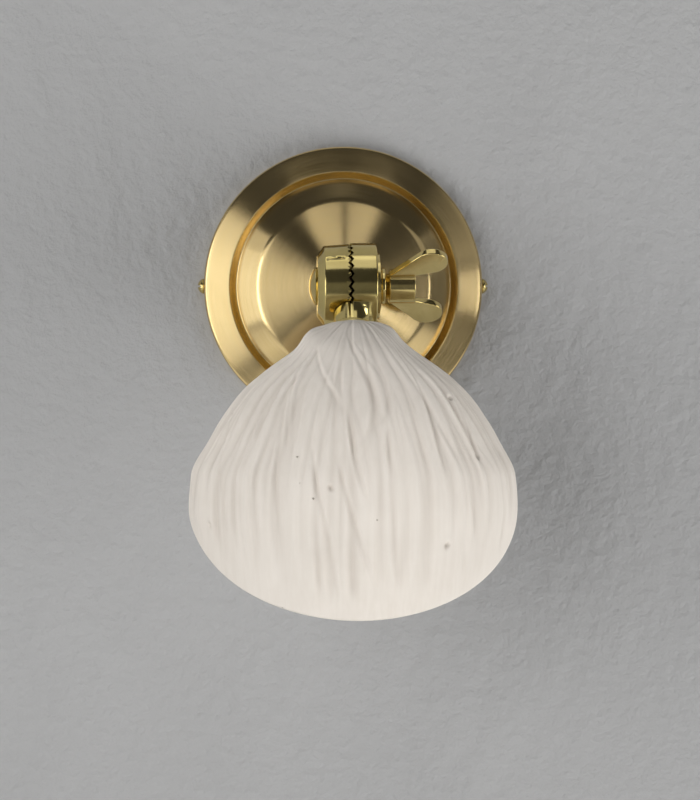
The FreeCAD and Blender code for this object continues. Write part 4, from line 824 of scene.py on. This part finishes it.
# The mesh: the outer skin's rings, the inner skin's, and a pole in the crown of each.
count = len(turns)
ring = np.arange(count)
ring_next = (ring + 1) % count
outer_pole, inner_pole = outer[:1, :].mean(axis=1), inner[:1, :].mean(axis=1)
vertices = [outer[1:].reshape(-1, 3), inner[1:].reshape(-1, 3), outer_pole, inner_pole]
inner_start = (ROWS - 1) * count
pole_outer = inner_start + (inner.shape[0] - 1) * count


def band(upper, lower):
    """The faces between two rings, each given by the number of its first point."""
    return np.column_stack((upper + ring, upper + ring_next, lower + ring_next, lower + ring))


faces = []
for start, rows, flip in ((0, ROWS - 1, False), (inner_start, inner.shape[0] - 1, True)):
    for row in range(rows - 1):
        quads = band(start + row * count, start + (row + 1) * count)
        faces += (quads[:, ::-1] if flip else quads).tolist()
    pole = pole_outer + (1 if flip else 0)
    fan = np.column_stack((np.full(count, pole), start + ring_next, start + ring))
    faces += (fan[:, ::-1] if flip else fan).tolist()
rim_outer = (ROWS - 2) * count
rim_inner = inner_start + (inner.shape[0] - 2) * count
faces += band(rim_outer, rim_inner).tolist()
shade_mesh = bpy.data.meshes.new("shade_shell")
shade_mesh.from_pydata((np.vstack(vertices) * MM).tolist(), [], faces)
# Each outer point's share of painted groove shade, from how deep the relief dips there.
painted_groove_shade = np.zeros(len(shade_mesh.vertices))
painted_groove_shade[:inner_start] = np.clip(-relief[1:].ravel() / GROOVE_SHADE_DEPTH, 0, 1)
shade_mesh.attributes.new("painted_groove_shade", "FLOAT", "POINT").data.foreach_set("value", painted_groove_shade)
outward(shade_mesh)

CLAY_DARK, CLAY_PALE, CLAY_STREAK = (0.655, 0.604, 0.545), (0.720, 0.669, 0.611), (0.76, 0.715, 0.665)
# The tone of the painted shade at a groove's bottom, and of the painted shade inside a pinhole.
CLAY_GROOVE_SHADE, CLAY_PIT_SHADE = (0.50, 0.448, 0.395), (0.30, 0.26, 0.22)
bisque = Finish("bisque")
clay = bisque.noise(bisque.place, scale=28.0, detail=5.0, roughness=0.6, distortion=0.3)
tooth = bisque.noise(bisque.place, scale=900.0, roughness=0.6)
drawn_down = bisque.mapped(bisque.place, (520.0, 520.0, 26.0))
streaks = bisque.noise(drawn_down, scale=1.0, detail=4.0, roughness=0.6, distortion=0.25)
holes = bisque.specks(150.0, core=0.03, edge=0.07, patch_scale=46.0, bare=0.62, full=0.66)
clay_tone = bisque.blend(bisque.span(clay, 0.3, 0.7, 0.0, 1.0), CLAY_DARK, CLAY_PALE)
clay_tone = bisque.blend(bisque.span(streaks, 0.35, 0.65, 0.0, 0.30), clay_tone, CLAY_STREAK)
# Painted shade: the clay turns darker where the relief dips into a groove.
shade_in_groove = bisque.node("ShaderNodeAttribute", {"attribute_name": "painted_groove_shade"}).outputs["Fac"]
clay_tone = bisque.blend(bisque.math("MULTIPLY", shade_in_groove, 0.42), clay_tone, CLAY_GROOVE_SHADE)
holed = bisque.bump(holes, distance=-0.0006, strength=0.8)
streaked = bisque.bump(streaks, distance=0.00010, strength=0.4, below=holed)
bisque.set(
    # The pinholes get painted shade: the clay is darkened inside each pit.
    Base_Color=bisque.blend(bisque.math("MULTIPLY", holes, 0.7), clay_tone, CLAY_PIT_SHADE),
    Roughness=0.88,
    Specular_IOR_Level=0.25,
    Normal=bisque.bump(tooth, distance=0.00005, strength=0.4, below=streaked),
)
shade_mesh.materials.append(bisque.material)
shade_mesh.shade_smooth()
shade_mesh.set_sharp_from_angle(angle=math.radians(60))
shade_shell = bpy.data.objects.new("shade_shell", shade_mesh)
scene.collection.objects.link(shade_shell)
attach(shade_shell, "shade_side")
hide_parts("shade")


# ---- steel, wiring and lamp ---------------------------------------------------------------------
# What the cover and the shade hide keeps the shapes of its solids: zinc-plated steel, tinned tags,
# sleeved leads, a moulded terminal block and a porcelain lampholder with its small glass lamp.


def plain_finish(name, dark, light, roughness, metal=0.0, grain=400.0, depth=0.00003, drawn_out=(1, 1, 1)):
    """A finish with slight changes of tone and a fine surface grain, which may be drawn out."""
    finish = Finish(name)
    tone = finish.noise(finish.place, scale=70.0, detail=4.0, roughness=0.6, distortion=0.3)
    grain_place = finish.mapped(finish.place, tuple(grain * k for k in drawn_out))
    surface = finish.noise(grain_place, scale=1.0, roughness=0.6)
    finish.set(
        Base_Color=finish.blend(finish.span(tone, 0.3, 0.7, 0.0, 1.0), dark, light),
        Metallic=metal,
        Roughness=finish.span(surface, 0.3, 0.7, roughness * 0.85, roughness * 1.15),
        Normal=finish.bump(surface, distance=depth, strength=0.5),
    )
    return finish


# Each plain finish: its darker and lighter tone, its roughness, and what else it has.
PLAIN_FINISHES = {
    "zinc_steel": ((0.50, 0.51, 0.52), (0.66, 0.67, 0.67), 0.36, dict(metal=1.0, grain=500.0)),
    "tinned_copper": ((0.62, 0.60, 0.56), (0.74, 0.73, 0.70), 0.30, dict(metal=1.0, grain=700.0)),
    "terminal_brass": (
        (0.62, 0.48, 0.22),
        (0.74, 0.60, 0.32),
        0.26,
        dict(metal=1.0, grain=900.0, depth=0.00002, drawn_out=(1, 0.1, 1)),
    ),
    "porcelain": ((0.78, 0.77, 0.73), (0.84, 0.83, 0.80), 0.22, dict(grain=220.0, depth=0.00002)),
    "silicone": ((0.60, 0.57, 0.50), (0.68, 0.65, 0.58), 0.6, {}),
    "black_rubber": ((0.018, 0.018, 0.018), (0.035, 0.034, 0.033), 0.62, {}),
    "friction_fibre": ((0.20, 0.07, 0.04), (0.30, 0.12, 0.07), 0.8, dict(grain=800.0, depth=0.00006)),
    "terminal_plastic": ((0.66, 0.65, 0.60), (0.72, 0.71, 0.67), 0.45, {}),
    "lead_sleeve": (
        (0.60, 0.58, 0.53),
        (0.68, 0.66, 0.61),
        0.5,
        dict(grain=1400.0, depth=0.00004, drawn_out=(1, 1, 0.3)),
    ),
    "lamp_filament": ((0.80, 0.55, 0.12), (0.88, 0.66, 0.22), 0.55, dict(grain=900.0, depth=0.00005)),
}
finishes = {}
for name, (dark, light, roughness, extra) in PLAIN_FINISHES.items():
    finishes[name] = plain_finish(name, dark, light, roughness, **extra)
finishes["porcelain"].set(Coat_Weight=0.5, Coat_Roughness=0.12)

SLEEVE_GREEN, SLEEVE_YELLOW = (0.05, 0.25, 0.05), (0.75, 0.62, 0.05)
striped = Finish("earth_sleeve")
stripe = striped.node(
    "ShaderNodeTexWave",
    {"wave_type": "BANDS", "bands_direction": "DIAGONAL"},
    Vector=striped.place,
    Scale=60.0,
    Distortion=0.4,
).outputs["Fac"]
in_stripe = striped.span(stripe, 0.62, 0.66, 0.0, 1.0)
striped.set(Base_Color=striped.blend(in_stripe, SLEEVE_GREEN, SLEEVE_YELLOW), Roughness=0.45)
finishes["earth_sleeve"] = striped

bulb = Finish("lamp_glass")
swirl = bulb.noise(bulb.place, scale=120.0, detail=2.0)
bulb.set(
    Base_Color=(0.97, 0.97, 0.96, 1),
    Roughness=0.03,
    IOR=1.45,
    Transmission_Weight=1.0,
    Normal=bulb.bump(swirl, distance=0.00004, strength=0.25),
)
finishes["lamp_glass"] = bulb

body_of = {node: body for body, held in frame["record"]["behaviour"]["bodies"].items() for node in held}
for entry in frame["record"]["subparts"]:
    finish = finishes.get(entry["material_slot"])
    if finish is not None:
        smooth_copy(entry["node"], body_of[entry["node"]], finish.material)

# Every solid that a finished piece stands for gets the finish of its slot too.
material_of = {name: finish.material for name, finish in finishes.items()}
material_of["cover_brass"] = spun_brass.material
material_of["bisque"] = bisque.material
material_of["joint_brass"] = joint_brass
material_of["fastener_brass"] = fastener_brass
for entry in frame["record"]["subparts"]:
    solid = nodes[entry["node"]].data
    solid.materials.clear()
    solid.materials.append(material_of[entry["material_slot"]])
